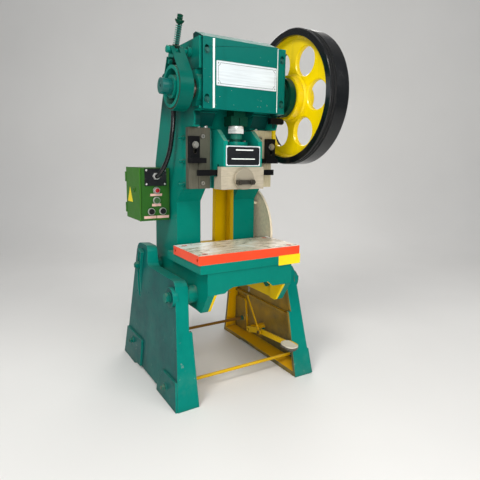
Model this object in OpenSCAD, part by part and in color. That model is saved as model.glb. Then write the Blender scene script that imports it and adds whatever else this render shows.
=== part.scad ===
// Mechanical stamping press of the open-back inclinable kind, with a crank-driven slide.
// Millimetres. X runs to the flywheel side, -Y is the operator's side, Z is up.

/* [Frame] */
// Height of the crankshaft axis above the floor
crank_z = 1165; // [1150:1:1185]
// Outer width across the two side walls of the frame
frame_w = 372; // [366:1:376]
// Thickness of a side wall of the frame
wall_t = 26; // [20:1:32]
// Clear width between the two uprights
throat_w = 160; // [140:1:170]
// Height of the bed's top face above the floor
bed_z = 539; // [534:1:542]
// Thickness of the bed's top slab
bed_t = 34; // [28:1:36]
// Width of the bed's top slab
bed_w = 438; // [420:1:440]

/* [Bolster] */
// Width of the bolster plate
bolster_w = 450; // [420:1:460]
// Depth of the bolster plate from front to back
bolster_d = 232; // [220:1:240]
// Thickness of the bolster plate
bolster_t = 35; // [25:1:40]
// Diameter of the drop hole in the bed
drop_d = 110; // [60:1:130]

/* [Slide] */
// Stroke of the slide, twice the throw of the crank
stroke = 45; // [35:1:45]
// Width of the slide between its flanks
slide_w = 170; // [160:1:174]
// Diameter of the hole that takes the tool's shank
shank_d = 30; // [20:1:36]
// Depth of the shank hole
shank_l = 50; // [40:1:52]

/* [Crank] */
// Diameter of the main journals
journal_d = 64; // [56:1:66]
// Diameter of the crank pin
pin_d = 52; // [44:1:54]
// Diameter of the right-hand shaft end that carries the flywheel
tail_d = 56; // [48:1:58]

/* [Flywheel] */
// Outer diameter of the flywheel
wheel_d = 536; // [520:1:540]
// Width of the flywheel's rim
wheel_w = 94; // [88:1:98]
// Diameter of the six lightening holes
wheel_hole_d = 112; // [80:1:116]
// Diameter of the circle that the lightening holes lie on
wheel_hole_pcd = 314; // [304:1:318]
// Number of lightening holes
wheel_holes = 6; // [5:1:6]

/* [Brake] */
// Diameter of the brake drum
drum_d = 146; // [130:1:150]
// Width of the brake band
band_w = 50; // [40:1:54]

/* [Stand] */
// Distance between the outer faces of the legs at the floor
stand_w = 624; // [616:1:632]
// Angle at which each leg leans inward
leg_lean = 4.5; // [3.5:0.1:5]
// Thickness of a leg's plate
leg_t = 13; // [10:1:15]
// Diameter of the two tilt pivots
pivot_d = 24; // [18:1:26]
// Radius of the curved tilt slots about the pivots
tilt_r = 368; // [366:1:370]

/* [Control box] */
// Height of the control box
box_h = 215; // [200:1:220]
// Depth of the control box from front to back
box_d = 190; // [180:1:195]
// Width of the control box
box_w = 120; // [110:1:122]

/* [Drive] */
// Outer diameter of the motor pulley
pulley_d = 90; // [80:1:96]
// Diameter of the motor's body
motor_d = 144; // [130:1:150]

/* [Pedal] */
// Distance from the pedal's pivot to the middle of its pad
pedal_l = 354; // [340:1:358]

/* [Hidden] */
$fn = 48;

// Named clearances
run_gap = 0.05;
slide_gap = 0.5;
side_gap = 1;

// Crank and slide
crank_y = 20;
throw_r = stroke / 2;
bush_t = 5;
cheek_in = 36;
cheek_out = 56;
stub_d = 56;

// Frame
side_x = frame_w / 2;
tail_x = side_x;
shaft_left = -side_x - 121;
wall_in = side_x - wall_t;
throat_x = throat_w / 2;
throat_y = 170;
bed_front = -116;
apron_y = bed_front + 4;
bed_back = 195;
head_front = -40;
head_top = 1335;
slide_bot = 801;
slide_top = 966;
cheek_top = 1025;
way_y = 76;
way_bot = 800;
way_top = 1032;
gib_front = 47;
gib_x = 99;
way_x = 88;
housing_w = 80;
housing_back = 160;
cap_bolt_x = side_x - 53;
cap_bolt_z = 50;
cap_front = -38;

// Stand
floor_x = stand_w / 2;
leg_in = side_x + 40;
pivot_y = 5;
pivot_z = 400;
bolt_angle = 7.3;
slot_low = -12.6;
slot_high = 15.6;
rim_in = 262;
front_rod_y = 0;
front_rod_z = 50;
rear_rod_y = 400;
rear_rod_z = 92;
rod_d = 14;

// Flywheel and drive
wheel_x = side_x + 52;
wheel_r = wheel_d / 2;
groove_x = [wheel_x + 11, wheel_x + 25];
groove_d = 11;
motor_y = 322;
motor_z = 985;
hub_r = 88;
bush_r = tail_d / 2 + 6;

// Brake
drum_x = -side_x - 83;
drum_r = drum_d / 2;
lining_t = 5;
band_t = 4;
band_x = drum_x + 3;
brake_x = drum_x + 29;
anchor_y = 33;
anchor_z = 1293;
rod_lean = 23.6;

// Control box
box_right = -side_x - 4;
box_front = 238;
box_bot = 660;
sheet_t = 2;

// Pedal
pedal_y = 229;
pedal_z = 102;
link_y = 122;
link_z = 119;

// Route of the conduit, from the elbow on the wall to the gland on the control box
conduit_d = 19;
conduit_x = -side_x - 19;
gland_x = conduit_x - 44;
gland_z = 842;
CONDUIT = [[conduit_x, 150, 1112], [conduit_x, 150, 1080], [conduit_x - 2, 150, 1040],
    [conduit_x - 5, 156, 1000], [conduit_x - 8, 165, 957], [conduit_x - 14, 175, 920],
    [conduit_x - 23, 186, 888], [conduit_x - 33, 197, 864], [conduit_x - 41, 210, 847],
    [gland_x, 222, gland_z]];

// Extents that set the origin, at the middle of the footprint on the floor
x_left = -floor_x - 22;
x_right = wheel_x + 118;
y_front = crank_y - wheel_r;
y_back = 513;

module machine() {
    translate([-(x_left + x_right) / 2, -(y_front + y_back) / 2, 0]) children();
}

// A box given by its low and high corners
module block(lo, hi) {
    translate(lo) cube(hi - lo);
}

// A cylinder along X, from x0 to x1, centred on y and z
module xcyl(r, x0, x1, y, z) {
    translate([x0, y, z]) rotate([0, 90, 0]) cylinder(r = r, h = x1 - x0);
}

// A cylinder along Y, from y0 to y1, centred on x and z
module ycyl(r, y0, y1, x, z) {
    translate([x, y0, z]) rotate([-90, 0, 0]) cylinder(r = r, h = y1 - y0);
}

// A cylinder along Z, from z0 to z1, centred on x and y
module zcyl(r, z0, z1, x, y) {
    translate([x, y, z0]) cylinder(r = r, h = z1 - z0);
}

// A prism along X of an outline given in Y and Z
module xprism(points, x0, x1) {
    translate([x0, 0, 0]) rotate([90, 0, 90]) linear_extrude(x1 - x0) polygon(points);
}

// A ring about an axis along X
module xring(r0, r1, x0, x1, y, z) {
    difference() {
        xcyl(r1, x0, x1, y, z);
        xcyl(r0, x0 - 1, x1 + 1, y, z);
    }
}

// Part of a ring about an axis along X, between two angles measured from +Y to +Z
module xarc(r0, r1, x0, x1, y, z, a0, a1) {
    translate([x0, y, z]) rotate([90, 0, 90]) rotate([0, 0, a0])
        rotate_extrude(angle = a1 - a0, $fn = 96) translate([r0, 0]) square([r1 - r0, x1 - x0]);
}

// A hexagon head or nut along X
module xhex(r, x0, x1, y, z) {
    translate([x0, y, z]) rotate([0, 90, 0]) cylinder(r = r, h = x1 - x0, $fn = 6);
}

// A hexagon head or nut along Y
module yhex(r, y0, y1, x, z) {
    translate([x, y0, z]) rotate([-90, 0, 0]) cylinder(r = r, h = y1 - y0, $fn = 6);
}

// A hexagon head or nut along Z
module zhex(r, z0, z1, x, y) {
    translate([x, y, z0]) cylinder(r = r, h = z1 - z0, $fn = 6);
}

// The same shape on the left and on the right
module both_sides() {
    children();
    mirror([1, 0, 0]) children();
}

// Points along an arc, for rounded corners of an outline
function arc(cy, cz, r, a0, a1, n = 6) =
    [for (i = [0:n]) [cy + r * cos(a0 + (a1 - a0) * i / n), cz + r * sin(a0 + (a1 - a0) * i / n)]];

// The frame's side outline: bed, throat, slideway, head and sloping back
bed_bot = 341;
bed_corner = 421;
back_foot = 440;
back_flange = 84;
back_y = pivot_y + tilt_r + 41;
back_low = [back_y, 420];
back_bed = [back_y, 525];
back_mid = [back_y - 8, 893];
back_high = [317, 1143];

// The outline of the wall without the part in front of the slideway
wall_outline = concat([[apron_y, bed_z - bed_t]], [[apron_y, bed_corner]],
    arc(-52, bed_bot + 8, 10, 210, 270, 3), [[300, bed_bot]], [back_low], [back_bed],
    [back_mid], [back_high], arc(223, head_top - 18, 18, 20, 90, 3),
    [[head_front, head_top]], [[head_front, 1092]],
    arc(way_y - 20, 1062, 52, 150, 215, 4), [[way_y, way_top]], [[way_y, way_bot]],
    [[124, 794]], [[throat_y, 741]], [[throat_y, bed_z]], [[bed_front, bed_z]], [[bed_front, bed_z - bed_t]]);

module frame_wall() {
    xprism(wall_outline, wall_in, side_x);
    // The thick lower wall of the bed
    xprism(concat([[apron_y, bed_z - bed_t]], [[apron_y, bed_corner]],
        arc(-52, bed_bot + 8, 10, 210, 270, 3), [[-20, bed_bot]], [[-20, bed_z - bed_t]]),
        wall_in - 10, side_x + 3);
    // The flange round the throat, which faces the operator
    xprism([[throat_y, bed_z], [throat_y + 30, bed_z], [throat_y + 30, 752], [150, 826],
        [110, 826], [110, way_bot], [124, 794], [throat_y, 741]], throat_x, side_x);
    // The flange along the back of the upright
    xprism([[back_y - 26, back_foot], [back_y, back_foot], back_bed, back_mid, [back_y - 38, 893]],
        side_x - back_flange, side_x);
    // The slideway that the slide's rear flanks run in
    translate([0, 0, way_bot]) linear_extrude(way_top - way_bot)
        polygon([[gib_x + 14, way_y], [side_x, way_y], [side_x, housing_back], [way_x, housing_back],
            [way_x, 102.5], [gib_x + 14, 90]]);
    // The bearing housing, open to the front for its cap
    xprism([[crank_y, crank_z - 78], [housing_back, crank_z - 105], [housing_back, crank_z + 97],
        [crank_y, crank_z + 78]], housing_w, side_x);
    // The web that carries the housing down to the slideway
    xprism([[60, way_top], [way_y + 1, way_top], [way_y + 1, way_top - 2],
        [housing_back, way_top - 2], [housing_back, crank_z - 75], [crank_y + 4, crank_z - 75]],
        housing_w + 6, wall_in + 2);
    // The boss that the tilt pivot runs in, and the one behind it for the tilt bolt
    xcyl(34, wall_in, leg_in - 1.3, pivot_y, pivot_z);
    translate([0, pivot_y, pivot_z]) rotate([bolt_angle, 0, 0]) {
        xcyl(26, wall_in, leg_in - 6, tilt_r, 0);
        xcyl(17, wall_in, rim_in - 0.2, tilt_r, 0);
    }
}

module frame_cuts() {
    // Journal bores and the openings that the bearing caps close
    xcyl(journal_d / 2 + bush_t, -side_x - 1, side_x + 1, crank_y, crank_z);
    both_sides() block([housing_w - 1, head_front - 1, crank_z - 64],
        [side_x + 1, crank_y, crank_z + 64]);
    // The drop hole
    zcyl(drop_d / 2, bed_z - bed_t - 1, bed_z + 1, 0, crank_y);
    // Bores of the tilt pivots
    both_sides() xcyl(pivot_d / 2 + run_gap, wall_in - 1, leg_in + 1, pivot_y, pivot_z);
    both_sides() translate([0, pivot_y, pivot_z]) rotate([bolt_angle, 0, 0])
        xcyl(10, wall_in - 1, rim_in + 1, tilt_r, 0);
    // The hole for the motor's shaft
    xcyl(34, wall_in - 1, side_x + 1, motor_y, motor_z);
    // Threaded holes of the bearing caps
    for (side = [-1, 1], dz = [-cap_bolt_z, cap_bolt_z])
        ycyl(6, crank_y - 1, crank_y + 40, side * cap_bolt_x, crank_z + dz);
    // Threaded holes of the cover
    for (p = COVER_BOLTS)
        ycyl(3.1, head_front - 1, head_front + 15, p[0], p[1] - 8);
    // Threaded holes of the bolster
    for (x = [-bolt_x, bolt_x], y = [-bolt_y, bolt_y])
        zcyl(6, bed_z - bed_t - 1, bed_z + 1, x, y);
}

module frame() {
    color("teal") machine() difference() {
        union() {
            both_sides() frame_wall();
            // Bed slab
            block([-bed_w / 2, bed_front, bed_z - bed_t], [bed_w / 2, bed_back, bed_z]);
            block([-wall_in - 1, bed_back - 1, bed_z - bed_t], [wall_in + 1, throat_y + 60, bed_z]);
            // Front apron with its arch
            difference() {
                block([-wall_in, apron_y, bed_corner], [wall_in, apron_y + 22, bed_z - bed_t]);
                translate([0, bed_front - 1, 0]) rotate([90, 0, 0]) mirror([0, 0, 1])
                    linear_extrude(30) polygon([[-118, 400], [-118, bed_corner], [-100, 434],
                        [-82, 441], [76, 441], [100, bed_corner], [100, 400]]);
            }
            // Cross ties behind the bed and behind the slide, and the roof
            block([-wall_in - 1, back_y - 28, 425], [wall_in + 1, back_y - 2, 520]);
            block([-wall_in - 1, housing_back - 24, 830], [wall_in + 1, housing_back, crank_z + 97]);
            block([-wall_in - 1, 0, head_top - 24], [wall_in + 1, 215, head_top]);
            // Shelf that carries the motor
            block([-wall_in - 1, 158, 868], [wall_in + 1, 386, 888]);
            // Boss of the brake's anchor pin, and the lifting lug at the back of the head
            xcyl(17, -side_x - 14, -wall_in, anchor_y, anchor_z);
            xcyl(24, -side_x - 10, -wall_in, 268, 1228);
            // Guides of the trip rod
            for (z = GUIDE_Z)
                block([side_x - 1, trip_y - 10, z], [trip_x + 8, trip_y + 10, z + 16]);
        }
        frame_cuts();
        xcyl(9, -side_x - 20, -wall_in + 10, anchor_y, anchor_z);
        ycyl(7, back_y - 30, back_y + 2, 0, 470);
        zcyl(rod_r + 0.3, 340, 1040, trip_x, trip_y);
    }
}

module bearing_caps() {
    color("teal") machine() both_sides() difference() {
        union() {
            block([housing_w + 2, -14, crank_z - 63.5], [side_x - 1, crank_y - 0.2, crank_z + 63.5]);
            intersection() {
                xcyl(58, housing_w + 2, side_x - 1, crank_y, crank_z);
                block([housing_w, cap_front, crank_z - 60], [side_x, crank_y - 0.2, crank_z + 60]);
            }
        }
        xcyl(journal_d / 2 + bush_t, housing_w, side_x, crank_y, crank_z);
        for (dz = [-cap_bolt_z, cap_bolt_z]) {
            ycyl(6.5, -40, crank_y, cap_bolt_x, crank_z + dz);
            ycyl(13, -60, -14, cap_bolt_x, crank_z + dz);
        }
    }
}

module bearing_bushes() {
    color("goldenrod") machine() both_sides()
        xring(journal_d / 2 + run_gap, journal_d / 2 + bush_t - run_gap, housing_w, side_x,
            crank_y, crank_z);
}

module cap_bolts() {
    color("dimgray") machine() both_sides() for (dz = [-cap_bolt_z, cap_bolt_z]) {
        yhex(11, -23, -14, cap_bolt_x, crank_z + dz);
        ycyl(6, -14.5, crank_y + 38, cap_bolt_x, crank_z + dz);
    }
}

// Bolts of the bolster and the lifting holes in its ends
bolt_x = 190;
bolt_y = 90;
hole_y = 100;

module bolster_plate() {
    color("orangered") machine() difference() {
        block([-bolster_w / 2, -bolster_d / 2, bed_z], [bolster_w / 2, bolster_d / 2, bed_z + bolster_t]);
        for (x = [-bolt_x, bolt_x], y = [-bolt_y, bolt_y]) {
            zcyl(6, bed_z - 1, bed_z + bolster_t + 1, x, y);
            zcyl(11, bed_z + bolster_t - 14, bed_z + bolster_t + 1, x, y);
        }
        for (x = [-1, 1], y = [-hole_y, hole_y])
            xcyl(6, x * bolster_w / 2 - 16, x * bolster_w / 2 + 16, y, bed_z + bolster_t / 2);
    }
}

module bolster_bolts() {
    color("dimgray") machine() for (x = [-bolt_x, bolt_x], y = [-bolt_y, bolt_y]) {
        zcyl(5.95, bed_z - bed_t + 2, bed_z + bolster_t - 14, x, y);
        difference() {
            zcyl(9.5, bed_z + bolster_t - 14, bed_z + bolster_t - 2, x, y);
            zhex(5, bed_z + bolster_t - 8, bed_z + bolster_t, x, y);
        }
    }
}

// Front cover
cover_x = side_x - 9;
cover_front = -51;
cover_bot = 1091;
cover_edge = 1334;
cover_ridge = 1360;
cover_t = 5;
clip_x = side_x - 50;
clip_z = 14;
cover_bolt_x = side_x - 25;
COVER_BOLTS = [for (x = [-cover_bolt_x, cover_bolt_x], z = [1131, 1296]) [x, z]];

module keyhole(x, z) {
    ycyl(8, cover_front - 1, cover_front + cover_t + 1, x, z + 3);
    block([x - 3.5, cover_front - 1, z - 16], [x + 3.5, cover_front + cover_t + 1, z + 3]);
}

module front_cover() {
    color("teal") machine() difference() {
        union() {
            difference() {
                xprism([[cover_front, cover_bot], [cover_front, cover_edge], [7, cover_ridge],
                    [28, cover_ridge - 3], [28, head_top + 0.3], [head_front - 0.3, head_top + 0.3],
                    [head_front - 0.3, cover_bot]], -cover_x, cover_x);
                // The inside of the cover
                xprism([[cover_front + cover_t, cover_bot - 1], [cover_front + cover_t, cover_edge - 6],
                    [7, cover_ridge - 6], [23, cover_ridge - 9], [23, head_top],
                    [head_front + 1, head_top], [head_front + 1, cover_bot - 1]],
                    -cover_x + cover_t, cover_x - cover_t);
            }
            // The lip along the bottom edge
            block([-cover_x, cover_front, cover_bot], [cover_x, head_front - 0.3, cover_bot + cover_t]);
        }
        // The clipped corner at the top right
        translate([0, cover_front - 10, 0]) rotate([90, 0, 0]) mirror([0, 0, 1]) linear_extrude(100)
            polygon([[clip_x, cover_ridge + 2], [clip_x, cover_edge + 2],
                [cover_x + 1, cover_edge - clip_z], [cover_x + 1, cover_ridge + 2]]);
        for (p = COVER_BOLTS)
            keyhole(p[0], p[1]);
    }
}

// Slideway gibs, screwed to the frame from the front
gib_seam = side_x - 39;
gib_screw_x = side_x - 55;
GIB_SCREW_Z = [999, 910, 822];

module gib() {
    difference() {
        translate([0, 0, way_bot + 1]) linear_extrude(way_top - way_bot - 2)
            polygon([[gib_x, gib_front], [side_x + 2, gib_front], [side_x + 2, way_y - 2],
                [side_x, way_y], [gib_x + 14, way_y], [gib_x, way_y - 7]]);
        // The seam between the flank and the outer bar
        block([gib_seam, gib_front - 1, way_bot], [gib_seam + 1.5, gib_front + 3, 899]);
        for (z = GIB_SCREW_Z)
            ycyl(4, gib_front - 1, way_y + 1, gib_screw_x, z);
    }
}

module left_gib() {
    color("dimgray") machine() mirror([1, 0, 0]) gib();
}

module right_gib() {
    color("tan") machine() gib();
}

// Screws that are put in from the front: cover, gibs and knock-out stops
module front_screws() {
    color("dimgray") machine() {
        for (p = COVER_BOLTS) {
            yhex(7, cover_front - 7, cover_front - 2, p[0], p[1] - 8);
            ycyl(10, cover_front - 2, cover_front, p[0], p[1] - 8);
            ycyl(3, cover_front - 1, head_front + 14, p[0], p[1] - 8);
        }
        both_sides() {
            for (z = GIB_SCREW_Z) {
                difference() {
                    ycyl(7.5, gib_front - 7, gib_front, gib_screw_x, z);
                    yhex(4, gib_front - 8, gib_front - 3, gib_screw_x, z);
                }
                ycyl(3.8, gib_front - 1, way_y, gib_screw_x, z);
            }
            ycyl(6.5, 20, gib_front, stop_x, 966);
            ycyl(13, 20, 24, stop_x, 966);
            yhex(10, 13, 20, stop_x, 966);
        }
    }
}

module gib_set_screws() {
    color("dimgray") machine() both_sides() for (z = GIB_SCREW_Z) {
        xcyl(5, side_x, side_x + 26, 90, z - 6);
        xhex(9, side_x, side_x + 9, 90, z - 6);
    }
}

// Knock-out stops on the gibs, and the bar that they hold back
stop_x = side_x - 14;
stop_in = side_x - 33;
stop_out = side_x + 6;
stop_bot = 899;
stop_top = 998;

module knockout_stops() {
    color("black") machine() both_sides() difference() {
        union() {
            block([stop_in, 24, stop_bot + 18], [stop_out, gib_front, stop_top]);
            block([stop_in - 18, 4, stop_bot], [stop_out + 1, gib_front, stop_bot + 19]);
        }
        ycyl(7, 0, gib_front + 1, stop_x, 966);
        ycyl(7, 0, gib_front + 1, stop_x, 940);
        block([stop_x - 7, 0, 940], [stop_x + 7, gib_front + 1, 966]);
        ycyl(9, gib_front - 9, gib_front + 1, gib_screw_x, GIB_SCREW_Z[1]);
    }
}

bar_y = 8;
bar_bot = 852;
bar_h = 22;
bar_len = 340;
bar_lift = 18;

module knockout_bar() {
    color("black") machine()
        block([-bar_len / 2, bar_y - 7.5, bar_bot], [bar_len / 2, bar_y + 7.5, bar_bot + bar_h]);
}

// Crankshaft, shown with its throw at the top
module crankshaft() {
    color("darkseagreen") machine() difference() {
        union() {
            xcyl(stub_d / 2, shaft_left, -side_x - 1, crank_y, crank_z);
            xcyl(journal_d / 2, -side_x - 1, -cheek_out, crank_y, crank_z);
            both_sides() crank_cheek();
            xcyl(pin_d / 2, -cheek_in, cheek_in, crank_y, crank_z + throw_r);
            xcyl(journal_d / 2, cheek_out, tail_x + 3, crank_y, crank_z);
            xcyl(tail_d / 2, tail_x + 3, tail_end, crank_y, crank_z);
        }
        xcyl(5, shaft_left - 1, shaft_left + 14, crank_y, crank_z);
        xcyl(6, tail_end - bolt_len - 4, tail_end + 1, crank_y, crank_z);
    }
}

module crank_cheek() {
    xcyl(40, cheek_in, cheek_out, crank_y, crank_z);
    xcyl(36, cheek_in, cheek_out, crank_y, crank_z + throw_r);
    block([cheek_in, crank_y - 36, crank_z], [cheek_out, crank_y + 36, crank_z + throw_r]);
}

collar_r = 78;

module clutch_collar() {
    color("darkgreen") machine() difference() {
        union() {
            xcyl(collar_r - 18, tail_x + 4, tail_x + 18, crank_y, crank_z);
            xcyl(collar_r, tail_x + 18, wheel_x - 9, crank_y, crank_z);
            xcyl(collar_r - 28, wheel_x - 9, wheel_x - 8, crank_y, crank_z);
        }
        xcyl(tail_d / 2, tail_x, wheel_x, crank_y, crank_z);
        for (r = [collar_r - 14, collar_r - 26])
            xring(r, r + 3, tail_x + 17, tail_x + 22, crank_y, crank_z);
    }
}

// Band brake at the left-hand end of the crankshaft
module brake_drum() {
    color("teal") machine() difference() {
        xcyl(drum_r, drum_x, drum_x + 58, crank_y, crank_z);
        xring(40, drum_r - 12, drum_x - 1, drum_x + 34, crank_y, crank_z);
        xcyl(stub_d / 2, drum_x - 1, drum_x + 60, crank_y, crank_z);
        // Two openings through the web
        for (a = [150, -30])
            xarc(42, drum_r - 14, drum_x - 1, drum_x + 60, crank_y, crank_z, a - 32, a + 32);
        xring(44, drum_r - 12, drum_x + 46, drum_x + 60, crank_y, crank_z);
    }
}

band_in = drum_r + lining_t;
band_gap = 14;

// The band's two ends rise to the anchor pin, and to the eye of the tension rod beside it
band_out = band_in + band_t;
eye_r = 14;
anchor_reach = norm([anchor_y - crank_y, anchor_z - crank_z]);
anchor_turn = atan2(anchor_y - crank_y, anchor_z - crank_z);
strap_open = acos((band_out - eye_r) / anchor_reach);
front_a = strap_open - anchor_turn;
rear_a = strap_open + anchor_turn;
band_start = 90 + front_a;
band_end = 450 - rear_a;
rod_eye_z = -42;
lug_r = 9;

module brake_lining() {
    color("saddlebrown") machine()
        xarc(drum_r + run_gap, band_in - run_gap, band_x, band_x + band_w, crank_y, crank_z,
            band_start + 4, band_end - 4);
}

// A flat end of the band, along the line that touches the drum's circle and the anchor's eye
strap_in = 0.3;

module strap(side, a) {
    n = [side * sin(a), cos(a)];
    t = [-side * cos(a), sin(a)];
    drum = [crank_y, crank_z] - 6 * t;
    eye = [anchor_y, anchor_z] + 1.5 * t;
    xprism([drum + (band_out - strap_in) * n, eye + (eye_r - strap_in) * n,
        eye + (eye_r - band_t + strap_in) * n, drum + (band_in + strap_in) * n],
        band_x, band_x + band_w);
}

module brake_band() {
    color("teal") machine() difference() {
        union() {
            xarc(band_in, band_out, band_x, band_x + band_w, crank_y, crank_z, band_start, band_end);
            strap(-1, front_a);
            xcyl(eye_r, band_x, band_x + band_w, anchor_y, anchor_z);
            // The rear end stops below the anchor and carries two lugs
            difference() {
                union() {
                    strap(1, rear_a);
                    rod_frame() {
                        block([-18, -lug_r, rod_eye_z - lug_r], [18, 16, rod_eye_z + 6]);
                        translate([0, 0, rod_eye_z]) xcyl(lug_r, -18, 18, 0, 0);
                    }
                }
                block([band_x - 1, -60, 1272], [band_x + band_w + 1, 120, 1400]);
            }
        }
        // Room for the tension rod between the lugs and through the front end
        rod_frame() block([-8, -30, rod_eye_z - 40], [8, 14, 40]);
        rod_frame() translate([0, 0, rod_eye_z]) xcyl(5, -30, 30, 0, 0);
        xcyl(9, brake_x - 40, brake_x + 40, anchor_y, anchor_z);
    }
}

module brake_anchor_pin() {
    color("teal") machine() difference() {
        union() {
            xcyl(8.9, band_x - 3, -side_x + 20, anchor_y, anchor_z);
            xhex(13, band_x - 11, band_x - 0.4, anchor_y, anchor_z);
        }
        rod_frame() zcyl(5.5, -40, 40, 0, 0);
    }
}

// The frame of the tension rod: its zero is where it passes the anchor pin
module rod_frame() {
    translate([brake_x - 3, anchor_y, anchor_z]) rotate([rod_lean, 0, 0]) children();
}

spring_low = 17.4;
spring_high = 86;
spring_r = 9.5;
wire_r = 2;
spring_turns = 9;

module brake_rod() {
    color("gray") machine() rod_frame() difference() {
        union() {
            zcyl(5, rod_eye_z, 118, 0, 0);
            translate([0, 0, rod_eye_z]) xcyl(8.5, -7.5, 7.5, 0, 0);
        }
        translate([0, 0, rod_eye_z]) xcyl(4.7, -9, 9, 0, 0);
    }
}

module brake_eye_pin() {
    color("dimgray") machine() rod_frame() translate([0, 0, rod_eye_z]) {
        xcyl(4.6, -20, 20, 0, 0);
        xcyl(7, -20, -18.2, 0, 0);
        xcyl(7, 18.2, 20, 0, 0);
    }
}

// Points round the spring's wire, swept along a helix
function coil_ring(t, sides = 6) = [for (k = [0:sides - 1])
    let (a = 360 * spring_turns * t, b = 360 * k / sides, rr = spring_r + wire_r * cos(b))
    [rr * cos(a), rr * sin(a),
        spring_low + wire_r + (spring_high - spring_low - 2 * wire_r) * t + wire_r * sin(b)]];

module tube_from_rings(rings, sides) {
    last = len(rings) - 1;
    points = [for (ring = rings) for (p = ring) p];
    walls = [for (i = [0:last - 1]) for (k = [0:sides - 1])
        [i * sides + k, i * sides + (k + 1) % sides, (i + 1) * sides + (k + 1) % sides,
            (i + 1) * sides + k]];
    ends = [[for (k = [0:sides - 1]) sides - 1 - k], [for (k = [0:sides - 1]) last * sides + k]];
    polyhedron(points, concat(walls, ends), convexity = 10);
}

module brake_spring() {
    steps = spring_turns * 14;
    color("darkgreen") machine() rod_frame()
        tube_from_rings([for (i = [0:steps]) coil_ring(i / steps)], 6);
}

module brake_cup() {
    color("darkgreen") machine() rod_frame() {
        // The washer under the spring
        difference() {
            zcyl(13, spring_low - 3, spring_low, 0, 0);
            zcyl(5.6, spring_low - 4, spring_low + 1, 0, 0);
        }
        // The cup above it and the two nuts that set the brake
        difference() {
            union() {
                translate([0, 0, spring_high]) cylinder(r1 = 9, r2 = 16, h = 10);
                zcyl(16, spring_high + 10, spring_high + 14, 0, 0);
                zhex(11, spring_high + 14, spring_high + 22, 0, 0);
                zhex(11, spring_high + 23, spring_high + 31, 0, 0);
            }
            zcyl(5.05, spring_high - 1, spring_high + 40, 0, 0);
        }
    }
}

// Connecting rod, its cap, and the adjusting screw with its ball
big_r = 44;
big_x = 33;
rod_bot = 1040;
ball_z = 930;
ball_r = 24;
neck_r = 20;
pin_z = crank_z + throw_r;

module connecting_rod() {
    color("seagreen") machine() difference() {
        union() {
            xcyl(big_r, -big_x, big_x, crank_y, pin_z);
            block([-big_x, crank_y - 47, pin_z - 22], [big_x, crank_y + 47, pin_z]);
            block([-25, crank_y - 28, rod_bot + 30], [25, crank_y + 28, pin_z]);
            block([-37, crank_y - 27, rod_bot], [37, crank_y + 27, rod_bot + 36]);
        }
        block([-big_x - 1, crank_y - 60, pin_z + 0.1], [big_x + 1, crank_y + 60, pin_z + 60]);
        xcyl(pin_d / 2 + run_gap, -big_x - 1, big_x + 1, crank_y, pin_z);
        zcyl(neck_r, rod_bot - 1, pin_z - 40, 0, crank_y);
        for (side = [-1, 1])
            zcyl(4.5, pin_z - 30, pin_z + 1, 0, crank_y + side * 38);
        // The slit and the pinch bolts' holes that clamp the screw
        block([-1.5, crank_y - 28, rod_bot - 1], [1.5, crank_y, rod_bot + 30]);
    }
}

module rod_cap() {
    color("seagreen") machine() difference() {
        union() {
            xcyl(big_r, -big_x, big_x, crank_y, pin_z);
            block([-big_x, crank_y - 47, pin_z], [big_x, crank_y + 47, pin_z + 16]);
        }
        block([-big_x - 1, crank_y - 60, pin_z - 60], [big_x + 1, crank_y + 60, pin_z + 0.2]);
        xcyl(pin_d / 2 + run_gap, -big_x - 1, big_x + 1, crank_y, pin_z);
        for (side = [-1, 1])
            zcyl(4.6, pin_z, pin_z + 60, 0, crank_y + side * 38);
        for (side = [-1, 1])
            zcyl(10, pin_z + 16, pin_z + 60, 0, crank_y + side * 38);
    }
}

module rod_cap_bolts() {
    color("dimgray") machine() for (side = [-1, 1]) {
        zhex(8, pin_z + 16, pin_z + 24, 0, crank_y + side * 38);
        zcyl(4.4, pin_z - 28, pin_z + 17, 0, crank_y + side * 38);
    }
}

module adjusting_screw() {
    color("gainsboro") machine() {
        difference() {
            translate([0, crank_y, ball_z]) sphere(r = ball_r);
            block([-30, -20, ball_z + 21], [30, 60, ball_z + 30]);
        }
        zcyl(neck_r - 3, ball_z + 10, 990, 0, crank_y);
        zcyl(neck_r + 4, 990, 1011, 0, crank_y);
        zcyl(neck_r - 0.1, 1011, pin_z - 42, 0, crank_y);
    }
}

module lock_nut() {
    color("gainsboro") machine() difference() {
        union() {
            zhex(34, 1012, 1030, 0, crank_y);
            zcyl(29, 1030, rod_bot, 0, crank_y);
        }
        zcyl(neck_r, 1000, 1050, 0, crank_y);
    }
}

// Slide with its rear flanks, open between two sloping cheeks at the top
cheek_x = 68;
flank_x = 112;
slide_front = -38;
clamp_top = 886;

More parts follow.
